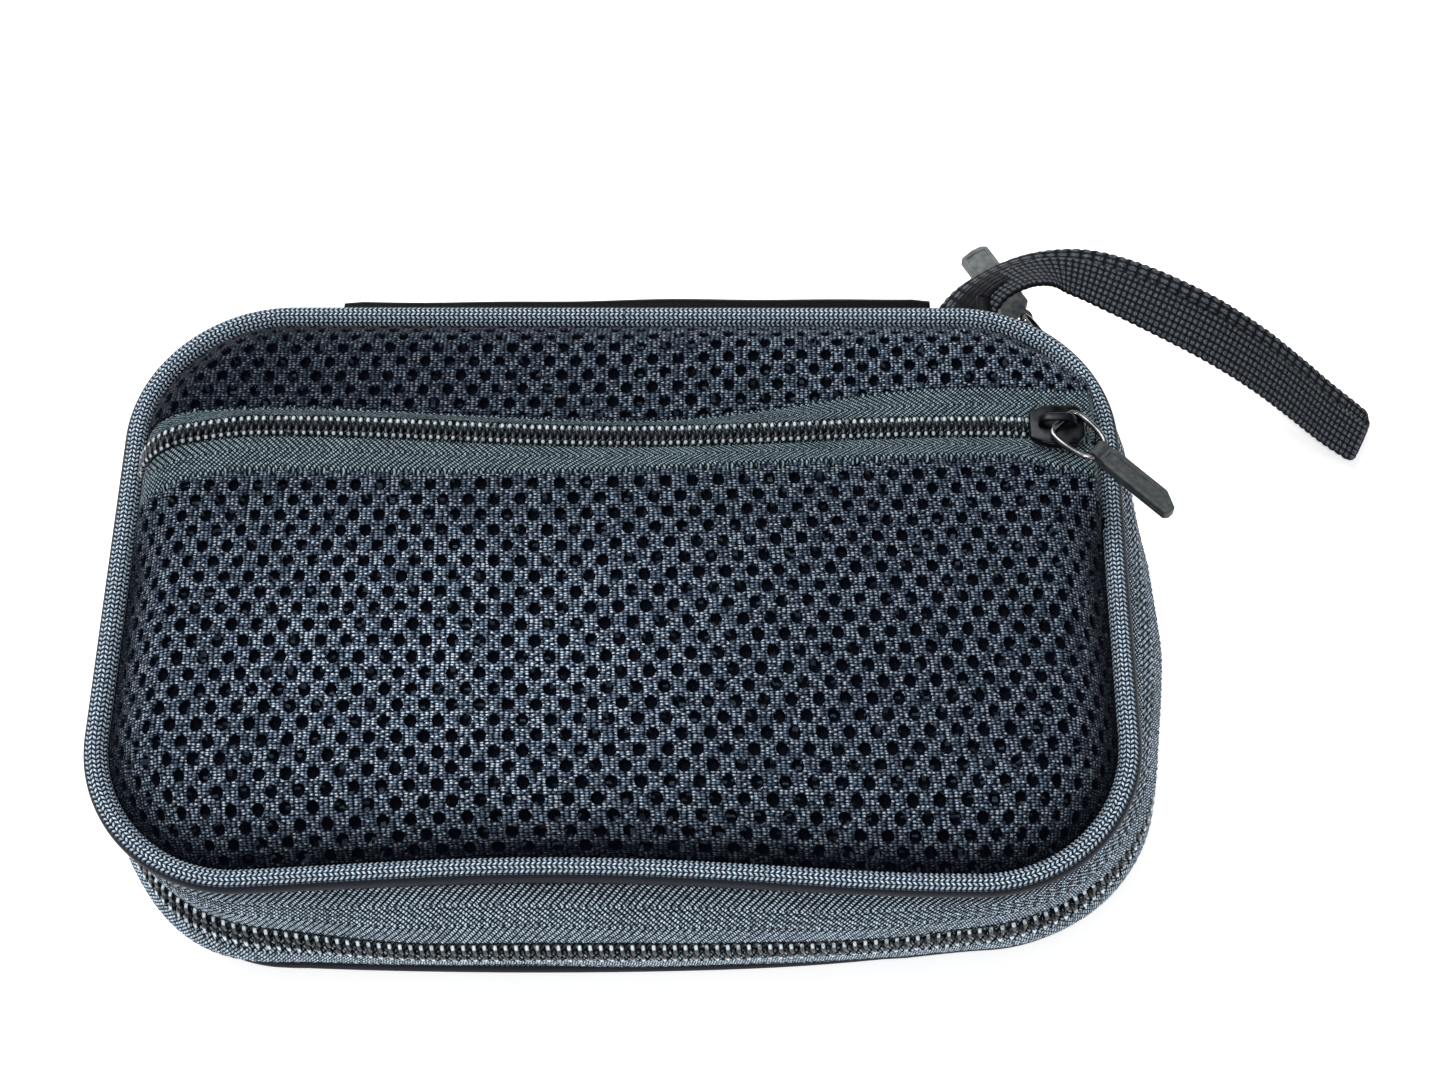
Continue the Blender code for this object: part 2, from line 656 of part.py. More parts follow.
def build_back(mesh_fabric, foam, lining, cord, tape, nylon, fabric, webbing):
    add_part("back_mesh_panel", plate(PANEL_INSET, 0.0, BACK_MESH_THICKNESS), mesh_fabric)
    board_z = BACK_MESH_THICKNESS + SEWN_GAP
    add_part("back_board", plate(PANEL_INSET, board_z, BACK_BOARD_THICKNESS), foam)
    lining_z = max(board_z + BACK_BOARD_THICKNESS + SEWN_GAP, WALL_BOTTOM_Z)
    add_part("back_lining", plate(LINING_INSET, lining_z, LINING_THICKNESS), lining)
    piping = sweep(disc(PIPING_RADIUS, PIPING_SIDES, 0.0, BACK_SEAM_Z), ring_frames(), True)
    add_part("back_piping", piping, cord)
    binding_z = lining_z + LINING_THICKNESS + SEWN_GAP
    add_part("back_seam_binding", sweep(binding_profile(binding_z), ring_frames(), True), fabric)
    lower = tape_profile(WALL_BOTTOM_Z, LOWER_CHAIN_Z - SEWN_GAP)
    add_part("back_zip_tape", sweep(lower, zip_frames()), tape)
    add_part("back_zip_chain", sweep(chain_profile(LOWER_CHAIN_Z), zip_frames()), nylon)
    add_part("spine", sweep(spine_profile(), far_frames(SPINE_LEFT, SPINE_RIGHT)), fabric)
    stop = LID_WALL_START + math.degrees(SEWN_GAP / SEAM_CORNER_RADIUS)
    right = zip_frames()[:1] + corner_frames(1, 1, 90.0, stop)
    left = corner_frames(-1, 1, 180.0 - stop, 90.0) + zip_frames()[-1:]
    add_part("zip_end_right", sweep(zip_end_profile(), right), tape)
    add_part("zip_end_left", sweep(zip_end_profile(), left), tape)
    centre = (STRAP_ROOT_X, ANCHOR_FOOT_Y + ANCHOR_REACH / 2, STRAP_ROOT_Z)
    anchor_size = (ANCHOR_THICKNESS, ANCHOR_REACH, STRAP_WIDTH)
    add_part("strap_anchor", block(anchor_size, centre), webbing)


def binding_profile(base_z):
    outer = -LINING_INSET
    inner = outer - BINDING_THICKNESS
    return [(inner, base_z), (outer, base_z), (outer, base_z + BINDING_WIDTH), (inner, base_z + BINDING_WIDTH)]


def build_lid(carrier, mesh_fabric, foam, lining, cord, tape, nylon, fabric):
    board_z = WALL_TOP_Z - LID_BOARD_THICKNESS / 2
    add_part("lid_board", plate(PANEL_INSET, board_z, LID_BOARD_THICKNESS), foam, carrier)
    lining_z = board_z - SEWN_GAP - LINING_THICKNESS
    add_part("lid_lining", plate(LINING_INSET, lining_z, LINING_THICKNESS), lining, carrier)
    binding_z = lining_z - SEWN_GAP - BINDING_WIDTH
    binding = sweep(binding_profile(binding_z), ring_frames(), True)
    add_part("lid_seam_binding", binding, fabric, carrier)
    piping = sweep(disc(PIPING_RADIUS, PIPING_SIDES, 0.0, FRONT_SEAM_Z), ring_frames(), True)
    add_part("front_piping", piping, cord, carrier)
    lid_frames = round_frames(LID_WALL_START, 180.0 - LID_WALL_START)
    upper = tape_profile(WALL_TOP_Z, UPPER_CHAIN_Z + CHAIN_HEIGHT + SEWN_GAP)
    add_part("front_zip_tape", sweep(upper, lid_frames), tape, carrier)
    add_part("front_zip_chain", sweep(chain_profile(UPPER_CHAIN_Z), lid_frames), nylon, carrier)
    upper_edge = POCKET_ZIP_Y + POCKET_CHAIN_EDGE + SEWN_GAP + POCKET_UPPER_TAPE + SEWN_GAP
    lower_edge = POCKET_ZIP_Y - POCKET_CHAIN_EDGE - SEWN_GAP - POCKET_LOWER_TAPE - SEWN_GAP
    dome_panel("upper_mesh_panel", upper_edge, HALF_Y, UPPER_PANEL_ROWS, mesh_fabric, carrier)
    near_edge = PANEL_INSET - HALF_Y
    dome_panel("pocket_mesh_panel", near_edge, lower_edge, POCKET_PANEL_ROWS, mesh_fabric, carrier)
    inner = POCKET_CHAIN_EDGE + SEWN_GAP
    flat = -POCKET_TAPE_THICKNESS
    chain_low = POCKET_CHAIN_BASE - STRIP_TOP_Z
    chain_high = POCKET_CHAIN_TOP - STRIP_TOP_Z
    strips = (
        ("pocket_tape_upper", inner, inner + POCKET_UPPER_TAPE, 0.0, flat, True, tape),
        ("pocket_tape_lower", -inner - POCKET_LOWER_TAPE, -inner, 0.0, flat, True, tape),
        ("pocket_chain_upper", CHAIN_SLIT / 2, POCKET_CHAIN_EDGE, chain_high, chain_low, False, nylon),
        ("pocket_chain_lower", -POCKET_CHAIN_EDGE, -CHAIN_SLIT / 2, chain_high, chain_low, False, nylon),
    )
    for name, near, far, high, low, bend, finish in strips:
        section = [(high, near), (high, far), (low, far), (low, near)]
        add_part(name, sweep(section, strip_frames(STRIP_TOP_Z, bend)), finish, carrier)


def build_pocket_pull(lid_axis, metal, steel, rubber):
    centre = Vector((POCKET_SLIDER_X, POCKET_ZIP_Y, 0.0))
    slide_axis = joint_axis("pocket_slide_axis", centre + Vector((0.0, 0.0, POCKET_CHAIN_TOP)), lid_axis)
    matrix = Matrix.Translation(centre)
    over_deck = slider_deck(POCKET_CHAIN_TOP) + RUNNING_GAP + BAIL_WIRE_RADIUS
    pin_z = max(over_deck, STRIP_TOP_Z + TAB_KNUCKLE_RADIUS + RUNNING_GAP)
    slider("pocket_slider", matrix, POCKET_CHAIN_EDGE, POCKET_CHAIN_BASE, POCKET_CHAIN_TOP, pin_z,
           metal, slide_axis)
    pin = centre + Vector((POCKET_PIN_OFFSET, 0.0, pin_z))
    turned = Matrix.Translation(pin) @ Matrix.Rotation(math.radians(POCKET_PULL_HEADING), 4, "Z")
    pin_axis = joint_axis("pocket_bail_axis", pin, slide_axis)
    bail("pocket_bail", turned, steel, pin_axis)
    bar_axis = joint_axis("pocket_tab_axis", turned @ Vector((BAIL_LENGTH, 0.0, 0.0)), pin_axis)
    flat_tab("pocket_tab", turned, rubber, bar_axis)


def build_main_pull(metal, steel, rubber):
    corner = Vector((CORNER_X, CORNER_Y, ZIP_Z))
    corner_axis = joint_axis("main_slide_axis", corner)
    angle = math.radians(MAIN_SLIDER_ANGLE)
    outward = Vector((math.cos(angle), math.sin(angle), 0.0))
    along = Vector((-outward.y, outward.x, 0.0))
    across = outward.cross(along)
    matrix = Matrix((along, across, outward)).transposed().to_4x4()
    matrix.translation = corner + outward * SEAM_CORNER_RADIUS
    ring = SEAM_CORNER_RADIUS + CHAIN_INNER
    sag = ring - math.sqrt(ring * ring - SLIDER_LENGTH * SLIDER_LENGTH / 4)
    edge = CHAIN_SLIT / 2 + CHAIN_HEIGHT
    low = min(CHAIN_INNER, WALL_BULGE - TAPE_THICKNESS) - sag
    pin_out = slider_deck(CHAIN_OUTER) + RUNNING_GAP + BAIL_WIRE_RADIUS
    slider("main_slider", matrix, edge, low, CHAIN_OUTER, pin_out, metal, corner_axis)
    pin = matrix @ Vector((0.0, 0.0, pin_out))
    heading = Matrix.Rotation(math.radians(MAIN_PULL_HEADING), 4, "Z")
    turned = Matrix.Translation(pin) @ heading @ Matrix.Rotation(math.pi / 2, 4, "X")
    pin_axis = joint_axis("main_bail_axis", pin, corner_axis)
    bail("main_bail", turned, steel, pin_axis)
    bar_axis = joint_axis("main_tab_axis", turned @ Vector((BAIL_LENGTH, 0.0, 0.0)), pin_axis)
    eyed_tab("main_tab", turned, rubber, bar_axis)


def build_strap(webbing):
    axis = joint_axis("strap_axis", Vector((STRAP_ROOT_X, STRAP_ROOT_Y, STRAP_ROOT_Z)))
    add_part("wrist_strap", sweep(strap_section(), strap_frames()), webbing, axis)


def main():
    clear_scene()
    mesh_fabric = finish_material("air_mesh", (0.030, 0.034, 0.042), 0.75)
    foam = finish_material("foam_board", (0.020, 0.020, 0.021), 0.90)
    lining = finish_material("lining_cloth", (0.018, 0.018, 0.020), 0.80)
    cord = finish_material("piping_cord", (0.075, 0.088, 0.102), 0.70)
    tape = finish_material("zip_tape", (0.070, 0.078, 0.076), 0.80)
    nylon = finish_material("zip_nylon", (0.030, 0.033, 0.035), 0.40)
    fabric = finish_material("spine_cloth", (0.012, 0.012, 0.013), 0.55)
    webbing = finish_material("strap_webbing", (0.024, 0.026, 0.027), 0.75)
    metal = finish_material("slider_metal", (0.030, 0.031, 0.033), 0.35, 1.0)
    steel = finish_material("bail_steel", (0.110, 0.115, 0.120), 0.22, 1.0)
    rubber = finish_material("tab_rubber", (0.060, 0.062, 0.063), 0.55)
    build_back(mesh_fabric, foam, lining, cord, tape, nylon, fabric, webbing)
    hinge = joint_axis("lid_hinge_axis", Vector((0.0, HALF_Y, FRONT_SEAM_Z)))
    build_lid(hinge, mesh_fabric, foam, lining, cord, tape, nylon, fabric)
    build_pocket_pull(hinge, metal, steel, rubber)
    build_main_pull(metal, steel, rubber)
    build_strap(webbing)


main()
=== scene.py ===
"""Looks of a soft zip-round headphone case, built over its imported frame.

Metres throughout. The sections follow the case as it is sewn together: the back,
the wall with its zip, the lid with its pocket, the pulls, the strap, then the studio.
"""
import math

import bmesh
import bpy
import numpy as np
from mathutils import Matrix, Vector


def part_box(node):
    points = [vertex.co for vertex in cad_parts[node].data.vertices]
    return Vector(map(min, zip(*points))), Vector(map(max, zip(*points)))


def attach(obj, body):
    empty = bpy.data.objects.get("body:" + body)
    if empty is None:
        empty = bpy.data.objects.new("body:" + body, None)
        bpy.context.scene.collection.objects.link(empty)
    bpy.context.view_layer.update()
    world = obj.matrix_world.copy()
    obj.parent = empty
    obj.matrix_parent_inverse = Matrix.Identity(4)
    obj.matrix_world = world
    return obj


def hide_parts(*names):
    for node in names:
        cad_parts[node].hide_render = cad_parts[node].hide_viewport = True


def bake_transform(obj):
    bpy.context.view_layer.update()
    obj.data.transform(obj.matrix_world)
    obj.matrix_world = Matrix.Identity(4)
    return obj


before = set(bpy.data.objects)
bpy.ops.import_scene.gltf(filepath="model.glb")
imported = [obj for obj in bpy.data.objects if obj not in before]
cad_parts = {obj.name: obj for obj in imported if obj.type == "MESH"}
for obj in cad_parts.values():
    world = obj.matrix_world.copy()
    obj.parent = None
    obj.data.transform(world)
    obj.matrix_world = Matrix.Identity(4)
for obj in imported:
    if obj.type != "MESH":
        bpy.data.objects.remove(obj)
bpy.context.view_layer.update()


# Back panel: knitted spacer mesh, the face that the case lies on. Round holes in
# staggered rows go through its face knit, and its edge is caught in the back seam.
CORD_RADIUS = 0.0019
CORNER_RADIUS = 0.0251
SEWN_GAP = 0.0003
PANEL_INSET = CORD_RADIUS + SEWN_GAP
HOLE_PITCH = 0.00412
HOLE_ROW = 0.00290
HOLE_SIDES = 12
HOLE_STRETCH = 1.26
# Rings of a hole from its padded rim to its floor: radius and depth
HOLE_RINGS = (
    (0.00124, 0.00006), (0.00104, 0.00002), (0.00096, -0.00020), (0.00091, -0.00080), (0.00072, -0.00120),
)
STITCH_WIDTH = 0.00074
STITCH_HEIGHT = 0.00048
MERGE_WITHIN = 0.00001
NORMAL_STEP = 0.0002
EDGE_ROLL = 0.0012
BACK_CLEARANCE = 0.0003
TUCK_DEPTH = 0.0016
MESH_DARK = (0.0014, 0.0022, 0.0060)
MESH_YARN = (0.375, 0.510, 0.700)
# Colour of the painted glints on the mesh's yarn
MESH_PAINTED_GLINT = (0.87, 0.95, 1.0)
# The wall leans: its foot lies a little to the right of the front, most on the near side
LEAN_X = 0.0050
LEAN_Y = -0.0002
LEAN_TURN = 0.010
SWAY_START = 0.030
SWAY_DEPTH = 0.046
SWAY_RANGE = (0.12, 0.76)
# Its foot bows out along two sides: how far, and the bow's middle and half length
NEAR_BOW = 0.0013
NEAR_BOW_X = (-0.010, 0.050)
RIGHT_BOW = 0.0018
RIGHT_BOW_Y = (-0.002, 0.030)
# Dents draw the foot in: how far, and the dent's middle and width
RIGHT_DENT = 0.0015
RIGHT_DENT_X = (0.060, 0.024)
LEFT_DENT = 0.0022
LEFT_DENT_X = (-0.082, 0.014)
LEFT_DENT_Y = (-0.042, 0.014)
# The near corners are tucked in at the foot and sink in a fold above it: how far, and
# where each begins and the length over which it grows
NEAR_TUCK = 0.0024
TUCK_SIDEWAYS = 0.8
TUCK_X = (0.044, 0.039)
TUCK_Y = (0.016, 0.037)
LEFT_SINK = 0.0036
RIGHT_SINK = 0.0024
SINK_X = (0.030, 0.042)
SINK_Y = (0.008, 0.034)
SINK_SWELL_X = (0.056, 0.060)
SINK_TURN = 0.62
SINK_EASE = 1.3
# The front seam is drawn in along the middle of the near side
NEAR_WAVE = 0.0025
NEAR_WAVE_X = (-0.008, 0.062)
NEAR_WAVE_Y = (0.022, 0.028)
NEAR_WAVE_FALL = 0.45

cord_low, cord_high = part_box("front_piping")
front_seam_z = (cord_low.z + cord_high.z) / 2
half_x = cord_high.x - CORD_RADIUS
half_y = cord_high.y - CORD_RADIUS
corner_x = half_x - CORNER_RADIUS
corner_y = half_y - CORNER_RADIUS


def feed(tree, socket, value):
    """Give an input what it reads: another node's socket, a colour or a plain number."""
    if isinstance(value, bpy.types.NodeSocket):
        tree.links.new(value, socket)
    else:
        socket.default_value = (*value, 1.0) if isinstance(value, tuple) else value


def add_node(tree, kind, settings=None, **inputs):
    """A shader node, with its settings and its inputs by name."""
    made = tree.nodes.new("ShaderNode" + kind)
    for key, value in (settings or {}).items():
        setattr(made, key, value)
    for key, value in inputs.items():
        feed(tree, made.inputs[key.replace("_", " ")], value)
    return made


def figure(tree, operation, *terms):
    """One Math node, as a socket."""
    made = add_node(tree, "Math", {"operation": operation})
    for socket, term in zip(made.inputs, terms):
        feed(tree, socket, term)
    return made.outputs[0]


def times(tree, value, *others):
    for other in others:
        value = figure(tree, "MULTIPLY", value, other)
    return value


def scaled(tree, value, by, plus):
    return figure(tree, "MULTIPLY_ADD", value, by, plus)


def span(tree, value, low, high):
    """A smooth step of a value from 0 at low to 1 at high."""
    step = {"interpolation_type": "SMOOTHSTEP"}
    return add_node(tree, "MapRange", step, Value=value, From_Min=low, From_Max=high).outputs["Result"]


def mix(tree, factor, first, second):
    """A colour between two others."""
    made = add_node(tree, "Mix", {"data_type": "RGBA"})
    for number, value in ((0, factor), (6, first), (7, second)):
        feed(tree, made.inputs[number], value)
    return made.outputs[2]


def new_group(name, inputs, outputs):
    """A shader node group with its sockets: names of values, or of vectors in capitals."""
    group = bpy.data.node_groups.new(name, "ShaderNodeTree")
    for label in inputs:
        kind = "NodeSocketVector" if label.isupper() else "NodeSocketFloat"
        group.interface.new_socket(label, in_out="INPUT", socket_type=kind)
    for label in outputs:
        group.interface.new_socket(label, in_out="OUTPUT", socket_type="NodeSocketFloat")
    return group, group.nodes.new("NodeGroupInput").outputs, group.nodes.new("NodeGroupOutput").inputs


def place_group(tree, group, **inputs):
    return add_node(tree, "Group", {"node_tree": group}, **inputs).outputs


def cloth_map(tree):
    """A piece's place on its flat cloth."""
    return add_node(tree, "UVMap", {"uv_map": "cloth"}).outputs[0]


def new_finish(name, roughness, sheen=0.0, metallic=0.0, specular=0.5):
    """A material with its constant values on the shader's own sockets, and its node tree."""
    material = bpy.data.materials.new(name)
    material.use_nodes = True
    inputs = material.node_tree.nodes["Principled BSDF"].inputs
    inputs["Roughness"].default_value = roughness
    inputs["Metallic"].default_value = metallic
    inputs["Sheen Weight"].default_value = sheen
    inputs["Sheen Roughness"].default_value = 0.5
    inputs["Specular IOR Level"].default_value = specular
    return material, material.node_tree


def close_finish(material, tone, height, strength, distance, roughness=None):
    """Lead a colour, a relief and, where it varies, the roughness into a material's shader."""
    tree = material.node_tree
    inputs = tree.nodes["Principled BSDF"].inputs
    feed(tree, inputs["Base Color"], tone)
    if roughness:
        feed(tree, inputs["Roughness"], roughness)
    bump = add_node(tree, "Bump", Strength=strength, Distance=distance, Height=height)
    feed(tree, inputs["Normal"], bump.outputs[0])
    return material


def stitch_group():
    """Knitted stitches: small rounded loops in rows, each with its own brightness."""
    sockets = ("CLOTH", "Width", "Height"), ("Relief", "Chance", "Fibre")
    group, given, result = new_group("knit_stitches", *sockets)
    size = add_node(group, "CombineXYZ", X=given["Width"], Y=given["Height"], Z=1.0)
    divided = add_node(group, "VectorMath", {"operation": "DIVIDE"})
    feed(group, divided.inputs[0], given["CLOTH"])
    feed(group, divided.inputs[1], size.outputs[0])
    cells = divided.outputs[0]
    flat = {"voronoi_dimensions": "2D"}
    loops = add_node(group, "TexVoronoi", flat, Vector=cells, Scale=1.0, Randomness=0.45)
    fibre = add_node(group, "TexNoise", {"noise_dimensions": "2D"}, Vector=cells, Scale=2.3, Detail=3.0)
    chance = add_node(group, "SeparateColor", Color=loops.outputs["Color"])
    relief = figure(group, "SUBTRACT", 1.0, span(group, loops.outputs["Distance"], 0.12, 0.56))
    feed(group, result["Relief"], relief)
    feed(group, result["Chance"], chance.outputs[0])
    feed(group, result["Fibre"], fibre.outputs["Fac"])
    return group


def mesh_finish():
    """Dark spacer mesh: blue-grey yarn, painted lighter on the stitches' crowns, with painted glints and
    painted shade; black down in the holes, from the dark backing and painted shade on the hole walls.
    """
    material, tree = new_finish("air_mesh", 0.5, specular=0.05)
    knit = place_group(tree, stitches, CLOTH=cloth_map(tree), Width=STITCH_WIDTH, Height=STITCH_HEIGHT)
    depth = add_node(tree, "Attribute", {"attribute_name": "depth"}).outputs["Fac"]
    painted_shade = add_node(tree, "Attribute", {"attribute_name": "painted_shade"}).outputs["Fac"]
    # painted light: the stitches are lighter on their crowns, with random tone from stitch to stitch
    lit = times(tree, knit["Relief"], scaled(tree, knit["Chance"], 0.75, 0.25))
    # painted glints: bright specks on the lit stitches, which are also made less rough
    painted_glint = span(tree, times(tree, knit["Chance"], knit["Relief"]), 0.44, 0.76)
    painted_glint = times(tree, painted_glint, span(tree, knit["Fibre"], 0.35, 0.58))
    bright = mix(tree, painted_glint, mix(tree, lit, MESH_DARK, MESH_YARN), MESH_PAINTED_GLINT)
    # painted shade: the yarn goes towards black where the panel's painted shade is high
    shaded_yarn = mix(tree, times(tree, painted_shade, 0.92), bright, MESH_DARK)
    spark = times(tree, span(tree, knit["Chance"], 0.86, 0.98), 0.12)
    floor = mix(tree, spark, MESH_DARK, MESH_YARN)
    # black down in the holes: the dark backing yarn, and painted shade down the hole walls
    tone = mix(tree, span(tree, depth, -0.00045, -0.00002), floor, shaded_yarn)
    relief = figure(tree, "ADD", knit["Relief"], times(tree, knit["Fibre"], 0.5))
    rough = figure(tree, "SUBTRACT", 0.72, times(tree, painted_glint, 0.35))
    return close_finish(material, tone, relief, 0.9, 0.00022, rough)


stitches = stitch_group()
mesh_material = mesh_finish()


def unit(value):
    """A value held between 0 and 1."""
    return np.clip(value, 0.0, 1.0)


def ramp(value, start, length):
    """From 0 at start to 1 a length further on; a negative length runs the other way."""
    return unit((value - start) / length)


def smooth(share):
    """A share from 0 to 1, eased at both ends."""
    return share * share * (3.0 - 2.0 * share)


def arch(value, middle, half):
    """1 in the middle, and 0 from half a span away."""
    return unit(1.0 - ((value - middle) / half) ** 2)


def bell(*axes):
    """A soft hill, 1 at its middle: each axis gives a value, the middle and a width."""
    return np.exp(-sum(((value - middle) / width) ** 2 for value, middle, width in axes))


def way_in(x, y, inset):
    """Distance inwards from the rounded outline that lies inset from the seam, and the way out."""
    over_x = np.abs(x) - corner_x
    over_y = np.abs(y) - corner_y
    out_x = np.maximum(over_x, 0.0)
    out_y = np.maximum(over_y, 0.0)
    reach = np.hypot(out_x, out_y)
    flat = reach < 1e-9
    out_x = np.where(flat, np.where(over_x > over_y, 1.0, 0.0), out_x / np.maximum(reach, 1e-9))
    out_y = np.where(flat, np.where(over_x > over_y, 0.0, 1.0), out_y / np.maximum(reach, 1e-9))
    inside = CORNER_RADIUS - inset - reach - np.minimum(np.maximum(over_x, over_y), 0.0)
    return inside, out_x * np.sign(x), out_y * np.sign(y)


def near_wave(x, y):
    """How far the front seam is drawn in along the middle of the near side."""
    middle = arch(x, *NEAR_WAVE_X)
    return NEAR_WAVE * middle * middle * ramp(-y, *NEAR_WAVE_Y)


def leaning(x, y, z):
    """A point of the upright wall, moved with the wall's lean and the sag of its near side."""
    share = 1.0 - z / front_seam_z
    near = unit(-y / half_y)
    sway = np.clip((SWAY_START - y) / SWAY_DEPTH, *SWAY_RANGE)
    bow = NEAR_BOW * near * arch(x, *NEAR_BOW_X)
    bulge = RIGHT_BOW * unit(x / half_x) * arch(y, *RIGHT_BOW_Y)
    dent = RIGHT_DENT * bell((x, *RIGHT_DENT_X)) * near ** 2
    pull = LEFT_DENT * bell((x, *LEFT_DENT_X), (y, *LEFT_DENT_Y))
    tuck = NEAR_TUCK * ramp(np.abs(x), *TUCK_X) * ramp(-y, *TUCK_Y)
    sink = smooth(ramp(np.abs(x), *SINK_X)) * ramp(-y, *SINK_Y) * np.where(x < 0.0, LEFT_SINK, RIGHT_SINK)
    fold = np.sin(math.pi * (unit(share) / SINK_TURN) ** SINK_EASE)
    sink = sink * np.where(fold > 0.0, fold, fold * ramp(np.abs(x), *SINK_SWELL_X))
    wave = near_wave(x, y) * unit(1.0 - share / NEAR_WAVE_FALL)
    _, out_x, out_y = way_in(x, y, 0.0)
    lean_x = LEAN_X * sway - LEAN_TURN * y - np.sign(x) * tuck * TUCK_SIDEWAYS + bulge + pull
    lean_y = LEAN_Y + LEAN_TURN * x - bow + tuck * (x > 0.0) + dent
    return x + lean_x * share - out_x * sink, y + lean_y * share - out_y * sink + wave, z


def roll_edge(along, radius):
    """Cloth that turns down over a rounded edge: how far in it lies, and how far it drops."""
    turn = np.clip(along / radius, 0.0, math.pi / 2)
    past = np.maximum(along - radius * math.pi / 2, 0.0)
    inward = radius * (1.0 - np.cos(turn)) + past
    drop = radius * (1.0 - np.sin(turn)) + np.maximum(-along, 0.0)
    return inward, np.minimum(drop, TUCK_DEPTH)


def lay_copies(bm, count, shift):
    """Repeat all of a bmesh; shift says how far each numbered copy moves."""
    whole = bm.verts[:] + bm.edges[:] + bm.faces[:]
    for number in range(1, count):
        copy = bmesh.ops.duplicate(bm, geom=whole)["geom"]
        moved = [item for item in copy if isinstance(item, bmesh.types.BMVert)]
        bmesh.ops.translate(bm, verts=moved, vec=shift(number))


def holed_cloth(low, high):
    """Flat mesh cloth between two corners: one holed cell, laid out in staggered rows."""
    bm = bmesh.new()
    bmesh.ops.create_circle(bm, cap_ends=True, segments=HOLE_SIDES, radius=1.0)
    floor = bm.faces[:][0]
    angles = [math.atan2(vert.co.y, vert.co.x) for vert in floor.verts]
    for vert, angle in zip(floor.verts, angles):
        share = math.atan2(abs(math.sin(angle)), abs(math.cos(angle))) / (math.pi / 2)
        vert.co.x = math.copysign(HOLE_PITCH / 2 * (1.0 - share), math.cos(angle))
        vert.co.y = math.copysign(HOLE_ROW * share, math.sin(angle))
    for radius, depth in HOLE_RINGS:
        bmesh.ops.inset_individual(bm, faces=[floor], thickness=0.0)
        for vert, angle in zip(floor.verts, angles):
            vert.co = (radius * math.cos(angle), HOLE_STRETCH * radius * math.sin(angle), depth)
    bmesh.ops.translate(bm, verts=bm.verts, vec=(low[0], low[1], 0.0))
    columns = int((high[0] - low[0]) / HOLE_PITCH) + 2
    lay_copies(bm, columns, lambda column: (column * HOLE_PITCH, 0.0, 0.0))
    rows = int((high[1] - low[1]) / HOLE_ROW) + 2
    lay_copies(bm, rows, lambda row: (-HOLE_PITCH / 2 * (row % 2), row * HOLE_ROW, 0.0))
    bmesh.ops.remove_doubles(bm, verts=bm.verts, dist=MERGE_WITHIN)
    return bm


def new_piece(name, bm, material, smooth_faces=True):
    mesh = bpy.data.meshes.new(name)
    for face in bm.faces:
        face.smooth = smooth_faces
    bm.to_mesh(mesh)
    bm.free()
    piece = bpy.data.objects.new(name, mesh)
    mesh.materials.append(material)
    bpy.context.scene.collection.objects.link(piece)
    return piece


def dress(piece, body, slot, *nodes):
    """Hang a piece on its body and let it stand for its solids."""
    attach(piece, body)
    if nodes:
        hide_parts(*nodes)
    return piece


def mesh_panel(name, bm, surface, outside):
    """Lay flat mesh cloth on a surface, with its holes sunk square to it."""
    spare = [face for face in bm.faces if outside(*face.calc_center_median().xy)]
    bmesh.ops.delete(bm, geom=spare, context="FACES")
    uv = bm.loops.layers.uv.new("cloth")
    # Per point: its depth in its hole, and how much painted shade the mesh's material puts there
    depth = bm.verts.layers.float.new("depth")
    painted_shade = bm.verts.layers.float.new("painted_shade")
    for face in bm.faces:
        for loop in face.loops:
            loop[uv].uv = loop.vert.co.xy
    flat = np.array([vert.co for vert in bm.verts])
    # the surface gives each point's place and its amount of painted shade
    place, pulled = surface(flat[:, 0], flat[:, 1])
    right = surface(flat[:, 0] + NORMAL_STEP, flat[:, 1])[0] - place
    up = surface(flat[:, 0], flat[:, 1] + NORMAL_STEP)[0] - place
    normal = np.cross(right, up)
    normal /= np.maximum(np.linalg.norm(normal, axis=1), 1e-12)[:, None]
    laid = place + normal * flat[:, 2:]
    for vert, co, sunk, pull in zip(bm.verts, laid.tolist(), flat[:, 2].tolist(), pulled.tolist()):
        vert.co = co
        vert[depth] = sunk
        vert[painted_shade] = pull
    return new_piece(name, bm, mesh_material)


def back_surface(x, y):
    """The back's face, seen from below, with its edge turned up into the seam."""
    spare = EDGE_ROLL * (math.pi / 2 - 1.0)
    along, out_x, out_y = way_in(x, y, PANEL_INSET - spare)
    inward, drop = roll_edge(along, EDGE_ROLL)
    shift = inward - (along - spare)
    place = leaning(-(x - out_x * shift), y - out_y * shift, BACK_CLEARANCE + drop)
    # painted shade: darker where the edge turns up into the seam
    return np.stack(place, axis=1), unit(drop / EDGE_ROLL)


def off_back(x, y):
    return way_in(x, y, PANEL_INSET)[0] < -TUCK_DEPTH


back_cloth = holed_cloth((-half_x, -half_y), (half_x, half_y))
back_panel = mesh_panel("back_panel", back_cloth, back_surface, off_back)
dress(back_panel, "base", "air_mesh", "back_mesh_panel")


# Boards: two dark foam sheets that keep the faces flat, each shut in between its panel
# and its lining. The solids have their shape, so they only take a finish.
def object_map(tree):
    return add_node(tree, "TexCoord").outputs["Object"]


def foam_finish():
    material, tree = new_finish("foam_board", 0.9)
    cells = add_node(tree, "TexVoronoi", Vector=object_map(tree), Scale=900.0).outputs["Distance"]
    tone = mix(tree, span(tree, cells, 0.1, 0.7), (0.006, 0.006, 0.007), (0.022, 0.022, 0.024))
    return close_finish(material, tone, cells, 0.6, 0.0003)


foam_material = foam_finish()
for board in ("back_board", "lid_board"):
    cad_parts[board].data.materials.clear()
    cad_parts[board].data.materials.append(foam_material)


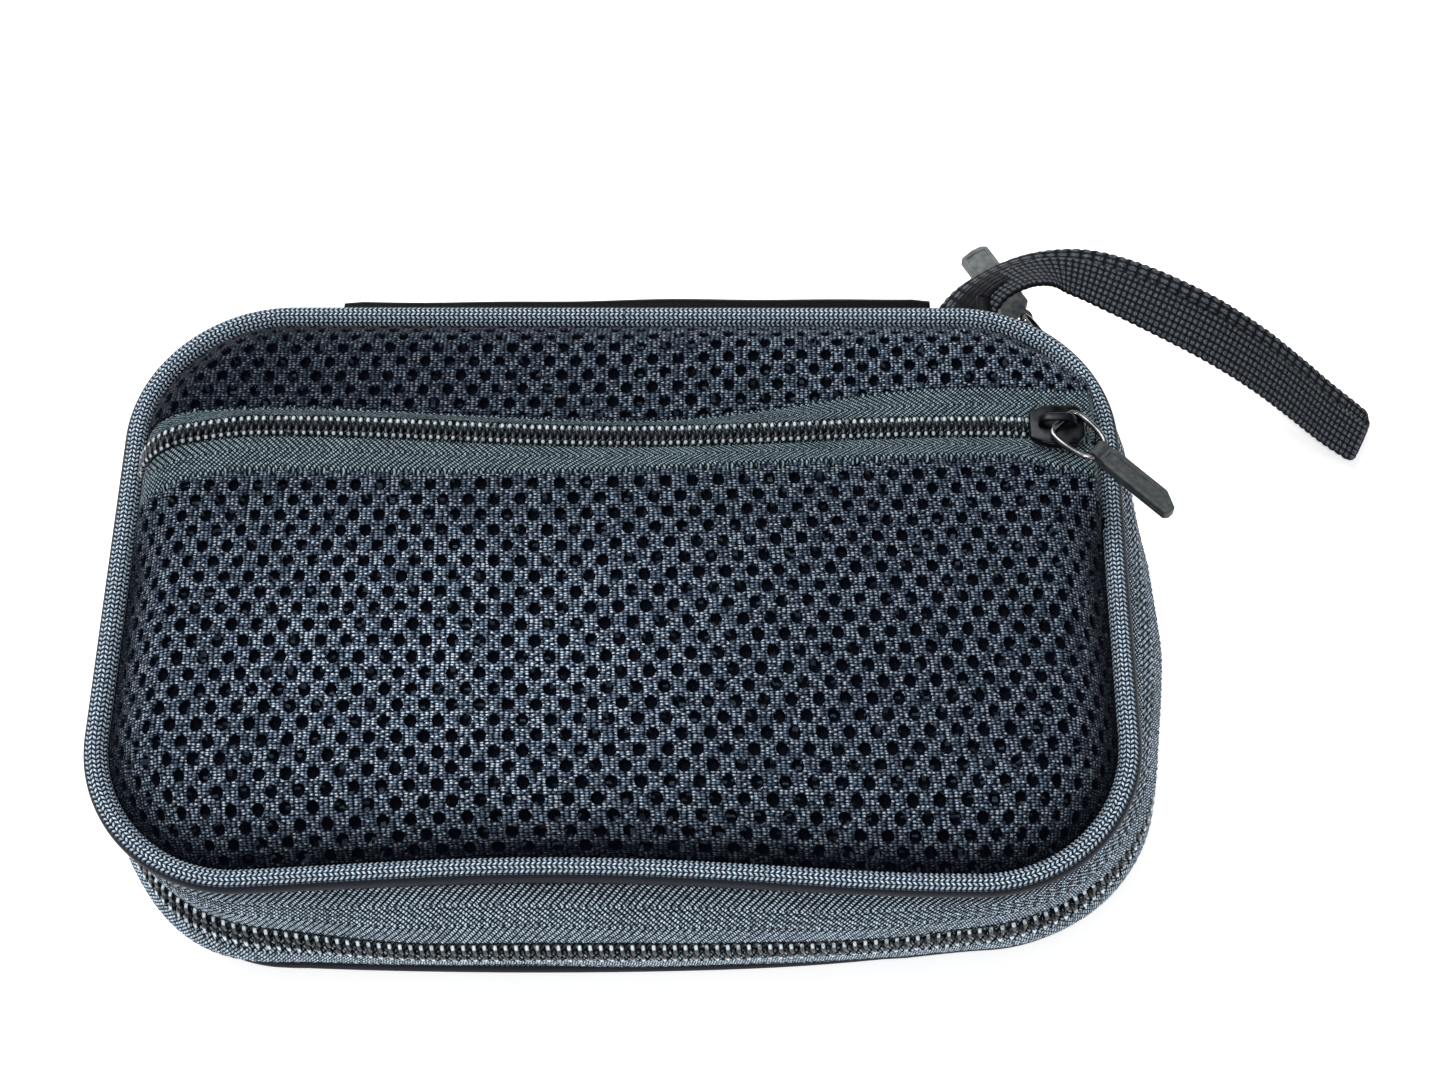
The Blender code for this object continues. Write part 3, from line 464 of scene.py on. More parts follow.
# Linings: fine black cloth laid over both boards and sewn in at the seams. It puckers
# a little where the binding draws it in.
LINING_COLUMNS = 120
LINING_ROWS = 80
LINING_SAG = 0.0004
LINING_THICKNESS = 0.0004
LINING_WEAVE = 0.0008
WELD_WITHIN = 0.000002


def beat(tree, kind, value, rate):
    """The sine or cosine of a value times a rate."""
    return figure(tree, kind, times(tree, value, rate))


def lining_finish():
    material, tree = new_finish("lining_cloth", 0.72, sheen=0.1, specular=0.15)
    along, across = add_node(tree, "SeparateXYZ", Vector=cloth_map(tree)).outputs[:2]
    warp = beat(tree, "SINE", along, 2 * math.pi / LINING_WEAVE)
    weave = times(tree, warp, beat(tree, "SINE", across, 2 * math.pi / LINING_WEAVE))
    tone = mix(tree, span(tree, weave, -0.8, 0.9), (0.008, 0.008, 0.010), (0.028, 0.029, 0.033))
    return close_finish(material, tone, weave, 0.5, 0.0001)


lining_material = lining_finish()


def wrap_grid(name, columns, rows, place, cloth, material, closed=False, warp=None):
    """A piece from a flat grid: place turns u and v, both from 0 to 1, into x, y and z.

    The UV map is the piece's place on the flat cloth, in metres; warp spaces its rows.
    """
    bm = bmesh.new()
    bmesh.ops.create_grid(bm, x_segments=columns, y_segments=rows, size=0.5)
    uv = bm.loops.layers.uv.new("cloth")
    for face in bm.faces:
        for loop in face.loops:
            across = loop.vert.co.y + 0.5
            loop[uv].uv = ((loop.vert.co.x + 0.5) * cloth[0], (warp(across) if warp else across) * cloth[1])
    flat = np.array([vert.co for vert in bm.verts]) + 0.5
    laid = np.stack(place(flat[:, 0], flat[:, 1]), axis=1)
    for vert, co in zip(bm.verts, laid.tolist()):
        vert.co = co
    if closed:
        bmesh.ops.remove_doubles(bm, verts=bm.verts, dist=WELD_WITHIN)
        bmesh.ops.holes_fill(bm, edges=bm.edges, sides=0)
        bmesh.ops.recalc_face_normals(bm, faces=bm.faces)
    return new_piece(name, bm, material)


def lining_sheet(node, side):
    """A rounded sheet over a board, its good side towards the inside of the case."""
    low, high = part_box(node)
    level = high.z if side > 0 else low.z
    bend = high.x - corner_x

    def place(u, v):
        x = side * (2 * u - 1) * high.x
        over = np.abs(x) - corner_x
        rounded = high.y - bend + np.sqrt(np.maximum(bend * bend - over * over, 0.0))
        far = np.where(over > 0, rounded, high.y)
        y = (2 * v - 1) * far
        pucker = np.sin(x * 260.0) * np.sin(y * 310.0 + 1.0) + np.sin(x * 90.0 + y * 140.0)
        return leaning(x, y, level - side * LINING_SAG * (0.5 + 0.25 * pucker))

    cloth = (2 * high.x, 2 * high.y)
    sheet = wrap_grid(node + "_cloth", LINING_COLUMNS, LINING_ROWS, place, cloth, lining_material)
    thick = sheet.modifiers.new("thickness", "SOLIDIFY")
    thick.thickness = LINING_THICKNESS
    thick.offset = -1.0
    return sheet


dress(lining_sheet("back_lining", 1), "base", "lining_cloth", "back_lining")


# Back piping: a cord covered with braided tape, sewn in all round the back seam. The
# braid shows on its crown, and the plain folded tape on its flanks.
BRAID_PITCH = 0.00085
BRAID_ROW = 0.00066
BRAID_HEIGHT = 0.00024
BRAID_SET = 0.7
BRAID_SLANT = 0.75
BRAID_INNER = math.radians(105)
BRAID_OUTER = math.radians(48)
BRAID_FADE = 0.25
PIPING_COLUMNS = 3000
PIPING_ROWS = 32
BACK_CORD_EASE = 0.0001
CORD_DARK = (0.0030, 0.0050, 0.0125)
CORD_LIGHT = (0.670, 0.840, 1.0)
quarter_turn = CORNER_RADIUS * math.pi / 2
seam_length = 4 * (corner_x + corner_y + quarter_turn)


def seam_line(s):
    """Place and way out on the seam line at s, from the middle of its far side, clockwise from above."""
    right = corner_x + quarter_turn
    near = right + 2 * corner_y + quarter_turn
    left = near + 2 * corner_x + quarter_turn
    last = left + 2 * corner_y + quarter_turn
    s = np.mod(s, seam_length)
    corners = (corner_x, right + 2 * corner_y, near + 2 * corner_x, left + 2 * corner_y)
    turn = sum(np.clip(s - start, 0.0, quarter_turn) for start in corners) / CORNER_RADIUS
    along_x = np.clip(s, 0.0, corner_x) - np.clip(s - near, 0.0, 2 * corner_x)
    along_x = along_x + np.clip(s - last, 0.0, corner_x)
    along_y = np.clip(s - left, 0.0, 2 * corner_y) - np.clip(s - right, 0.0, 2 * corner_y)
    out_x = np.sin(turn)
    out_y = np.cos(turn)
    return along_x + CORNER_RADIUS * out_x, corner_y + along_y + CORNER_RADIUS * out_y, out_x, out_y


def from_seam(s, out, up):
    """A point at a distance out from the seam line, at a height."""
    x, y, out_x, out_y = seam_line(s)
    return leaning(x + out_x * out, y + out_y * out, up)


def noise(tree, at, scale, detail):
    return add_node(tree, "TexNoise", Vector=at, Scale=scale, Detail=detail).outputs["Fac"]


def cord_finish():
    """Braided cover: rows of short slanted light strands, dark between them, and painted light along the
    cord's crown.
    """
    material, tree = new_finish("piping_cord", 0.5, specular=0.12)
    cloth = cloth_map(tree)
    along, around = add_node(tree, "SeparateXYZ", Vector=cloth).outputs[:2]
    outwards = figure(tree, "SUBTRACT", around, math.pi * CORD_RADIUS)
    across = figure(tree, "ABSOLUTE", outwards)
    phase = scaled(tree, figure(tree, "PINGPONG", across, BRAID_ROW), BRAID_SLANT, along)
    strand = figure(tree, "ABSOLUTE", beat(tree, "COSINE", phase, math.pi / BRAID_PITCH))
    ridge = figure(tree, "ABSOLUTE", beat(tree, "SINE", across, math.pi / BRAID_ROW))
    knot = times(tree, span(tree, strand, 0.40, 0.95), span(tree, ridge, 0.12, 0.74))
    inner = span(tree, outwards, -CORD_RADIUS * BRAID_INNER, -CORD_RADIUS * BRAID_INNER * 0.8)
    outer = span(tree, outwards, CORD_RADIUS * BRAID_OUTER, CORD_RADIUS * BRAID_OUTER * 0.8)
    cover = times(tree, inner, outer)
    # painted light: the strands are lighter along the cord's crown
    crown = figure(tree, "SUBTRACT", 1.0, span(tree, across, BRAID_ROW * 0.9, BRAID_ROW * 1.3))
    fleck = noise(tree, cloth, 2600.0, 2.0)
    lit = times(tree, knot, scaled(tree, crown, 0.25, 0.75), span(tree, fleck, 0.15, 0.60))
    plain = mix(tree, fleck, (0.004, 0.005, 0.009), (0.014, 0.017, 0.027))
    tone = mix(tree, cover, plain, mix(tree, lit, CORD_DARK, CORD_LIGHT))
    return close_finish(material, tone, times(tree, knot, cover), 0.7, 0.0002)


cord_material = cord_finish()


def crowd(v):
    """Rows of a cord, crowded together on its crown."""
    way = 2 * v - 1
    return 0.5 + 0.5 * way * (0.42 + 0.58 * way * way)


def piping(name, level, ease):
    """A cord about the seam line at a level, with its braid in relief."""
    def place(u, v):
        s = u * seam_length
        turn = (2 * crowd(v) - 1) * math.pi
        across = CORD_RADIUS * np.abs(turn)
        fold = np.abs(np.mod(across / BRAID_ROW + 1.0, 2.0) - 1.0) * BRAID_ROW
        strand = np.abs(np.cos(math.pi * (s + BRAID_SLANT * fold) / BRAID_PITCH))
        ridge = np.abs(np.sin(math.pi * across / BRAID_ROW)) ** 0.5
        cover = unit(np.minimum(BRAID_OUTER - turn, BRAID_INNER + turn) / BRAID_FADE)
        radius = CORD_RADIUS - ease + BRAID_HEIGHT * (strand * ridge - BRAID_SET) * cover
        return from_seam(s, radius * np.sin(turn), level + radius * np.cos(turn))

    cloth = (seam_length, 2 * math.pi * CORD_RADIUS)
    return wrap_grid(name, PIPING_COLUMNS, PIPING_ROWS, place, cloth, cord_material,
                     closed=True, warp=crowd)


back_seam_z = sum(corner.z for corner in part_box("back_piping")) / 2
dress(piping("back_cord", back_seam_z, BACK_CORD_EASE), "base", "piping_cord", "back_piping")


# Seam bindings: black tape folded over the raw seam inside each half and stitched
# through near its free edge.
BINDING_DEPTH = 0.0016
BINDING_WOBBLE = 0.00012
BINDING_SQUARE = 0.35
BINDING_FLAT = 0.008
BINDING_COLUMNS = 700
BINDING_ROWS = 20


def plain_cloth(name, dark, light, roughness, pitch):
    """Smooth black cloth with a very fine weave."""
    material, tree = new_finish(name, roughness, specular=0.1)
    knit = place_group(tree, stitches, CLOTH=cloth_map(tree), Width=pitch, Height=pitch)
    tone = mix(tree, times(tree, knit["Relief"], knit["Chance"]), dark, light)
    return close_finish(material, tone, knit["Relief"], 0.35, 0.00006)


binding_material = plain_cloth("seam_binding", (0.006, 0.006, 0.007), (0.030, 0.030, 0.033), 0.7, 0.0005)


def squared(swing, power):
    """A sine or cosine that makes a circle into a square with rounded corners."""
    return np.sign(swing) * np.abs(swing) ** power


def binding(node):
    low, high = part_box(node)
    outer = high.x - half_x
    inner = outer - BINDING_DEPTH
    middle_z = (low.z + high.z) / 2
    middle = (outer + inner) / 2
    reach = (outer - inner) / 2
    tall = (high.z - low.z) / 2

    def place(u, v):
        turn = 2 * math.pi * v
        wobble = BINDING_WOBBLE * np.sin(u * seam_length * 900.0)
        out = middle + reach * squared(np.cos(turn), BINDING_SQUARE)
        up = middle_z + tall * squared(np.sin(turn), BINDING_SQUARE)
        return from_seam(u * seam_length, out + wobble, up)

    cloth = (seam_length, BINDING_FLAT)
    return wrap_grid(node + "_tape", BINDING_COLUMNS, BINDING_ROWS, place, cloth, binding_material,
                     closed=True)


dress(binding("back_seam_binding"), "base", "spine_cloth", "back_seam_binding")


# Back zip tape: herringbone twill, the lower side wall. One edge is sewn into the back
# seam behind the piping, and the coil is sewn along the other.
TAPE_ROWS = 34
TAPE_STEP = 0.00042
TAPE_THICKNESS = 0.0007
# Shares of a tape's rows: up its face, the fold beneath the coil, and down its inner side
TAPE_FACE = 0.70
TAPE_FOLD = (0.74, 0.82, 0.84, 0.88)
TAPE_INNER_START = 0.90
TAPE_INNER = 0.08
TAPE_SEWN = 0.04
TAPE_LEDGE = 0.0002
TAPE_PART = 0.00003
TAPE_CRUMPLE = 0.00022
TAPE_RIPPLE = 0.00012
# The upper tape puffs out on the right side
TAPE_PUFF = 0.0014
TAPE_PUFF_Y = (0.022, -0.012)
TWILL_PITCH = 0.00112
TWILL_BAND = 0.0036
TWILL_HEIGHT = 0.00012
TAPE_DARK = (0.003, 0.005, 0.008)
TAPE_LIGHT = (0.680, 0.840, 1.0)
POCKET_TWILL_PITCH = 0.00104
POCKET_TAPE_LIGHT = (0.31, 0.425, 0.48)
COIL_FLOOR = 0.0036
HEM_LAP = 0.0035
spine_low, spine_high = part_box("spine")
tape_low, tape_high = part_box("back_zip_tape")
wall_bulge = tape_high.x - half_x
wall_foot = CORD_RADIUS / 2
zip_z = (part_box("back_zip_chain")[0].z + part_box("front_zip_chain")[1].z) / 2
zip_start = spine_high.x - SEWN_GAP
zip_end = seam_length + spine_low.x + SEWN_GAP


def twill_height(s, t):
    """Ribs of the herringbone: they slant one way in one band and back in the next."""
    fold = np.abs(np.mod(t / TWILL_BAND, 2.0) - 1.0) * TWILL_BAND
    return np.cos(2 * math.pi * (s + fold) / TWILL_PITCH)


def twill_group():
    """Herringbone twill on cloth coordinates: ribs, and the short floats along them."""
    group, given, result = new_group("herringbone", ("CLOTH", "Pitch", "Band"), ("Rib", "Fleck"))
    along, across = add_node(group, "SeparateXYZ", Vector=given["CLOTH"]).outputs[:2]
    fold = figure(group, "PINGPONG", across, given["Band"])

    def slanted(way, rate):
        slant = figure(group, "DIVIDE", figure(group, way, along, fold), given["Pitch"])
        return scaled(group, beat(group, "COSINE", slant, rate), 0.5, 0.5)

    dash = span(group, slanted("ADD", 3.2 * math.pi), 0.20, 0.80)
    fibre = span(group, noise(group, given["CLOTH"], 2400.0, 2.0), 0.20, 0.60)
    feed(group, result["Rib"], slanted("SUBTRACT", 2 * math.pi))
    feed(group, result["Fleck"], times(group, dash, fibre))
    return group


def tape_finish(name, light, pitch):
    """Twill tape: light on its ribs and dark between them, with fuzz and faint clouds."""
    material, tree = new_finish(name, 0.62, specular=0.05)
    cloth = cloth_map(tree)
    weave = place_group(tree, twill, CLOTH=cloth, Pitch=pitch, Band=TWILL_BAND)
    rib = span(tree, weave["Rib"], 0.10, 0.70)
    fleck = scaled(tree, weave["Fleck"], 1.45, 0.06)
    fuzz = scaled(tree, span(tree, noise(tree, cloth, 1300.0, 2.0), 0.38, 0.62), 0.8, 0.42)
    cloud = scaled(tree, noise(tree, cloth, 90.0, 3.0), 0.8, 0.5)
    tone = mix(tree, times(tree, rib, fleck, fuzz, cloud), TAPE_DARK, light)
    return close_finish(material, tone, figure(tree, "ADD", weave["Rib"], weave["Fleck"]), 0.6, 0.00015)


twill = twill_group()
tape_material = tape_finish("zip_tape", TAPE_LIGHT, TWILL_PITCH)
pocket_tape_material = tape_finish("pocket_zip_tape", POCKET_TAPE_LIGHT, POCKET_TWILL_PITCH)


def run_of(first, second):
    """Distances along a line of points, from its first one."""
    return np.concatenate(([0.0], np.cumsum(np.hypot(np.diff(first), np.diff(second)))))


def wall_tape(name, seam_z, chain_z, start, end):
    """A strip of wall tape from the seam's level to the coil's, and on beneath the coil."""
    height = abs(chain_z - seam_z)
    towards = math.copysign(1.0, chain_z - seam_z)
    share = np.linspace(0.0, 1.0, 25)
    face = wall_foot + (wall_bulge - wall_foot) * np.sin(share * math.pi / 2)
    ledge = chain_z + towards * TAPE_LEDGE
    edge = zip_z - towards * TAPE_PART
    inner = COIL_FLOOR - TAPE_THICKNESS
    fold = (COIL_FLOOR, COIL_FLOOR, inner, inner)
    out_at = np.concatenate((face, fold, face[::-1] - TAPE_THICKNESS, face[:1]))
    up_at = np.concatenate((seam_z + (chain_z - seam_z) * share, (ledge, edge, edge, ledge),
                            chain_z + (seam_z - chain_z) * share, (seam_z,)))
    row_at = np.concatenate((share * TAPE_FACE, TAPE_FOLD, TAPE_INNER_START + share * TAPE_INNER, (1.0,)))
    run = run_of(out_at, up_at)

    def place(u, v):
        s = start + (end - start) * u
        level = unit(v / TAPE_FACE)
        relief = TWILL_HEIGHT * twill_height(s, level * height)
        relief = relief + TAPE_CRUMPLE * np.sin(s * 61.0) * np.sin(level * math.pi)
        relief = relief + TAPE_RIPPLE * np.sin(s * 173.0 + level * 4.0)
        _, at_y, right, _ = seam_line(s)
        puffed = unit(right) ** 2 * ramp(at_y, *TAPE_PUFF_Y) * (towards < 0.0)
        relief = (relief + TAPE_PUFF * puffed * level ** 3) * ramp(level, 0.0, TAPE_SEWN)
        shown = v <= TAPE_FACE + 0.0001
        out = np.interp(v, row_at, out_at) + np.where(shown, relief, 0.0)
        return from_seam(s, out, np.interp(v, row_at, up_at))

    columns = int((end - start) / TAPE_STEP)
    return wrap_grid(name, columns, TAPE_ROWS, place, (end - start, 1.0), tape_material, closed=True,
                     warp=lambda v: float(np.interp(v, row_at, run)))


lower_tape = wall_tape("back_tape", tape_low.z, tape_high.z, zip_start - HEM_LAP, zip_end + HEM_LAP)
dress(lower_tape, "base", "zip_tape", "back_zip_tape")


# Main coil: a nylon wire wound into a flat spring on each tape's edge. The loops of
# the two halves mesh when the zip is closed, and a sewing cord runs inside each half.
COIL_PITCH = 0.00169
COIL_WIRE = 0.00034
COIL_GAP = 0.00045
COIL_OVERLAP = 0.00018
COIL_DEPTH = 0.0020
COIL_EASE = 0.0001
COIL_TURN_STEPS = 12
COIL_SIDES = 6
COIL_HEAD = 0.35
# Where along a turn the upper and the lower half get a painted highlight, and the highlight's colour on the
# wall's coil
PAINTED_HIGHLIGHT_AT = 0.40
LOW_PAINTED_HIGHLIGHT_AT = 0.27
WALL_PAINTED_HIGHLIGHT = (0.80, 0.93, 1.0)


def nylon_finish(name, highlight_at, highlight_tone):
    """Black nylon with grime, and a painted highlight on the outer side of each turn."""
    material, tree = new_finish(name, 0.25, specular=0.5)
    grime = noise(tree, object_map(tree), 700.0, 3.0)
    turns, around = add_node(tree, "SeparateXYZ", Vector=cloth_map(tree)).outputs[:2]
    facing = beat(tree, "COSINE", around, 2 * math.pi)
    from_highlight = figure(tree, "SUBTRACT", figure(tree, "FRACT", turns), highlight_at)
    swing = beat(tree, "COSINE", from_highlight, 2 * math.pi)
    # painted highlight: a bright spot on each turn where it faces outwards, broken up by the grime
    painted_highlight = times(tree, span(tree, swing, 0.90, 0.99), span(tree, grime, 0.25, 0.55),
                  span(tree, facing, 0.0, 0.9))
    base = mix(tree, span(tree, grime, 0.35, 0.70), (0.002, 0.004, 0.007), (0.016, 0.023, 0.033))
    tone = mix(tree, painted_highlight, base, highlight_tone)
    return close_finish(material, tone, grime, 0.2, 0.00005, scaled(tree, grime, 0.25, 0.12))


# Wall coil nylon: two copies that differ only in where the painted highlight sits along a turn
nylon_material = nylon_finish("zip_nylon", PAINTED_HIGHLIGHT_AT, WALL_PAINTED_HIGHLIGHT)
low_nylon_material = nylon_finish("zip_nylon_low", LOW_PAINTED_HIGHLIGHT_AT, WALL_PAINTED_HIGHLIGHT)


def coil(name, length, low, high, thick, head_side, phase, carry, pitch, material, ease=0.0):
    """A wound half of a zip chain. carry(s, across, out) places a point on the zip's line.

    Each loop crosses squarely on top and moves on to the next one underneath.
    """
    turns = int(length / pitch) - 1
    half = (high - low) / 2
    reach = half + COIL_GAP / 2 + COIL_OVERLAP
    middle = (low + high) / 2 - head_side * ease + head_side * (reach - half)
    reach = reach - COIL_WIRE

    def place(u, v):
        count = np.floor(turns * u + 1e-9)
        part = turns * u - count
        wind = 2 * math.pi * part
        ring = 2 * math.pi * v
        s = pitch * (count + phase + smooth(unit(2 * part - 1)))
        head = 0.5 + 0.5 * np.cos(wind)
        wire = COIL_WIRE * (1.0 + COIL_HEAD * head ** 3)
        across = middle + head_side * (reach + wire * np.cos(ring)) * np.cos(wind)
        out = thick * np.sin(wind) + wire * np.cos(ring) * np.sin(wind)
        return carry(s + wire * np.sin(ring), across, out)

    return wrap_grid(name, turns * COIL_TURN_STEPS, COIL_SIDES, place, (turns, 1.0), material, closed=True)


def wall_coil(name, node, head_side, phase, start, end):
    low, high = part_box(node)
    centre = high.x - half_x - COIL_DEPTH / 2
    thick = COIL_DEPTH / 2 - COIL_WIRE + COIL_EASE
    material = low_nylon_material if head_side > 0 else nylon_material

    def carry(s, across, out):
        return from_seam(start + s, centre + out, across)

    return coil(name, end - start, low.z, high.z, thick, head_side, phase, carry, COIL_PITCH, material,
                COIL_EASE)


back_coil = wall_coil("back_coil", "back_zip_chain", 1, 0.0, zip_start, zip_end)
dress(back_coil, "base", "zip_nylon", "back_zip_chain")


# Spine: a padded strip of smooth black cloth along the hinge side, between the two
# seams, with its ends hemmed over the closed ends of the zip.
SPINE_COLUMNS = 200
SPINE_ROWS = 60
SPINE_CLOTH = 0.0015
SPINE_FULLNESS = 0.12
SPINE_HEM = 0.03
SPINE_FLAT = (0.104, 0.04)
# Shares of its rows: up the outer face, in over its edge, down the inner face and out again
SPINE_OUTER = (0.0, 0.80)
SPINE_OVER = (0.80, 0.02)
SPINE_INNER = (0.82, 0.16)
SPINE_BACK = (0.98, 0.02)
spine_material = plain_cloth("spine_cloth", (0.0010, 0.0010, 0.0012), (0.005, 0.005, 0.006), 0.38, 0.0004)


def spine_place(u, v):
    x = spine_low.x + (spine_high.x - spine_low.x) * u
    share = 0.5 - 0.5 * np.cos(math.pi * (ramp(v, *SPINE_OUTER) - ramp(v, *SPINE_INNER)))
    sunk = ramp(v, *SPINE_OVER) - ramp(v, *SPINE_BACK)
    swell = np.maximum(np.sin(share * math.pi), 0.0) ** SPINE_FULLNESS
    hem = unit(1.0 - np.minimum(u, 1.0 - u) / SPINE_HEM)
    ripple = 0.00022 * np.sin(x * 95.0 + 0.6) + 0.00014 * np.sin(x * 210.0)
    ripple = ripple + 0.0001 * np.sin(x * 37.0 + share * 9.0)
    bulge = (spine_high.y - half_y - CORD_RADIUS) * (1.0 + 0.14 * x / spine_high.x)
    out = CORD_RADIUS + bulge * swell * (1.0 - 0.10 * hem) + ripple * swell - SPINE_CLOTH * sunk
    return leaning(x, half_y + out, spine_low.z + (spine_high.z - spine_low.z) * share)


spine = wrap_grid("spine_strip", SPINE_COLUMNS, SPINE_ROWS, spine_place, SPINE_FLAT, spine_material,
                  closed=True)
dress(spine, "base", "spine_cloth", "spine")


# Zip ends: the closed ends of the zip by the spine, where tape and coil stay joined to
# the back when the lid opens.
LID_WALL_START = 45.0
lid_start = corner_x + CORNER_RADIUS * math.radians(90.0 - LID_WALL_START)
lid_end = seam_length - lid_start
upper_low, upper_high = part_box("front_zip_tape")
zip_ends = (("right", zip_start, lid_start - SEWN_GAP, HEM_LAP, 0.0),
            ("left", lid_end + SEWN_GAP, zip_end, 0.0, HEM_LAP))
for side, start, end, before, after in zip_ends:
    end_tape = wall_tape("zip_end_tape_" + side, upper_high.z, upper_low.z, start - before, end + after)
    dress(end_tape, "base", "zip_tape", "zip_end_" + side)
    end_coil = wall_coil("zip_end_coil_" + side, "front_zip_chain", -1, 0.5, start, end)
    dress(end_coil, "base", "zip_nylon")


# Lid: lining, seam binding, piping, wall tape and coil of the front half, made like
# those of the back.
dress(lining_sheet("lid_lining", -1), "lid", "lining_cloth", "lid_lining")
dress(binding("lid_seam_binding"), "lid", "spine_cloth", "lid_seam_binding")
dress(piping("front_cord", front_seam_z, 0.0), "lid", "piping_cord", "front_piping")
front_tape = wall_tape("front_tape", upper_high.z, upper_low.z, lid_start, lid_end)
dress(front_tape, "lid", "zip_tape", "front_zip_tape")
front_coil = wall_coil("front_coil", "front_zip_chain", -1, 0.5, lid_start, lid_end)
dress(front_coil, "lid", "zip_nylon", "front_zip_chain")


# Pocket zip: a narrow coil zip across the front. Its tapes lie between the two mesh
# panels, wave a little with the padding, and turn down to the seam at both ends.
STRIP_STEP = 0.00040
STRIP_ROWS = 26
STRIP_TAPE_WIDTH = 0.0060
STRIP_RIB = 0.3
LEFT_TURN = 0.0111
RIGHT_TURN = 0.0046
RIM_LIFT = 0.0008
# The zip's line waves, calmer at its right end, and bends down at its left
STRIP_WAVE = 0.0010
STRIP_WAVE_CREST = 0.060
STRIP_WAVE_LENGTH = 0.118
STRIP_CALM_X = (0.078, -0.012)
STRIP_BEND = 0.0030
STRIP_BEND_X = (-0.060, -0.020)
# The mesh's edges beside it: spread at the left, risen in the middle or at the right, sagged
FAN_X = (-0.062, -0.020)
LOWER_FAN = 0.0012
LOWER_RISE = 0.0027
LOWER_RISE_X = (-0.050, 0.070)
LOWER_FALL_X = (0.084, -0.022)
UPPER_FAN = 0.0014
UPPER_RISE = 0.0042
UPPER_RISE_X = (0.005, 0.055)
UPPER_SAG = 0.0012
UPPER_DIP = 0.0006
UPPER_DIP_X = (0.0, 0.03)
# A tape's section from beneath the coil: share of its rows, how far out to the coil's edge,
# how far across to the mesh, how far on beneath the mesh, and its level
STRIP_FACE = (0.12, 0.68)
STRIP_SECTION = (
    (0.00, 0.05, 0.0, 0.0, -0.0009), (0.08, 0.95, 0.0, 0.0, -0.0009), (0.12, 1.0, 0.0, 0.0, -0.0001),
    (0.80, 1.0, 1.0, 0.0, -0.0001), (0.84, 1.0, 1.0, 0.0014, -0.0009), (0.88, 1.0, 1.0, 0.0014, -0.0013),
    (0.90, 1.0, 1.0, 0.0012, -0.0013), (1.00, 0.05, 0.0, 0.0, -0.0009),
)
POCKET_COIL_PITCH = 0.00125
POCKET_COIL_HALF = 0.00085
POCKET_COIL_CLEAR = 0.0001
# Colour of the painted highlight on the pocket zip's coil
POCKET_PAINTED_HIGHLIGHT = (0.54, 0.60, 0.64)
strip_low, strip_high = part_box("pocket_tape_lower")
strip_far_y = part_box("pocket_tape_upper")[1].y
chain_low, chain_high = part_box("pocket_chain_lower")
far_chain_low, far_chain_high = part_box("pocket_chain_upper")
zip_y = (chain_low.y + far_chain_high.y) / 2
chain_reach = far_chain_high.y - zip_y
strip_top = strip_high.z
rim_x = half_x - PANEL_INSET - SEWN_GAP
rim_z = front_seam_z + SEWN_GAP + RIM_LIFT


def strip_table(right_end):
    """Samples of the zip's line in the plane of x and z, and the distance along it."""
    left = LEFT_TURN - half_x
    right = half_x - RIGHT_TURN
    turn = np.radians(np.linspace(8.0, 90.0, 40))
    x = [left - (rim_x + left) * np.cos(turn), np.linspace(left, right, 300)[1:]]
    z = [rim_z + (strip_top - rim_z) * np.sin(turn), np.full(299, strip_top)]
    if right_end:
        turn = np.radians(np.linspace(90.0, 14.0, 40))[1:]
        x.append(right + (rim_x - right) * np.cos(turn))
        z.append(rim_z + (strip_top - rim_z) * np.sin(turn))
    x = np.concatenate(x)
    z = np.concatenate(z)
    return x, z, run_of(x, z)


def strip_wave(x):
    """How far the zip's line strays from a straight one: a soft wave, and a bend to its left end."""
    swing = np.cos(2 * math.pi * (x - STRIP_WAVE_CREST) / STRIP_WAVE_LENGTH)
    return STRIP_WAVE * swing * ramp(x, *STRIP_CALM_X) - STRIP_BEND * ramp(x, *STRIP_BEND_X) ** 1.6


def lower_edge(x):
    """The line where the lower tape meets the pocket's mesh."""
    rise = smooth(ramp(x, *LOWER_RISE_X) * ramp(x, *LOWER_FALL_X))
    return strip_low.y + strip_wave(x) * 1.1 - LOWER_FAN * ramp(x, *FAN_X) ** 1.5 + LOWER_RISE * rise


def upper_edge(x):
    """The line where the upper tape meets the panel above it."""
    sag = UPPER_SAG + UPPER_DIP * bell((x, *UPPER_DIP_X))
    rise = smooth(ramp(x, *UPPER_RISE_X))
    return strip_far_y + strip_wave(x) * 0.9 + UPPER_FAN * ramp(x, *FAN_X) - sag + UPPER_RISE * rise


def on_strip(table, s, y, out):
    """A point on the zip's line: s along it, y across it, and out of the front."""
    x_at, z_at, s_at = table
    x = np.interp(s, s_at, x_at)
    z = np.interp(s, s_at, z_at)
    ahead_x = np.interp(s + STRIP_STEP, s_at, x_at) - np.interp(s - STRIP_STEP, s_at, x_at)
    ahead_z = np.interp(s + STRIP_STEP, s_at, z_at) - np.interp(s - STRIP_STEP, s_at, z_at)
    size = np.maximum(np.hypot(ahead_x, ahead_z), 1e-9)
    return x - ahead_z / size * out, y, z + ahead_x / size * out


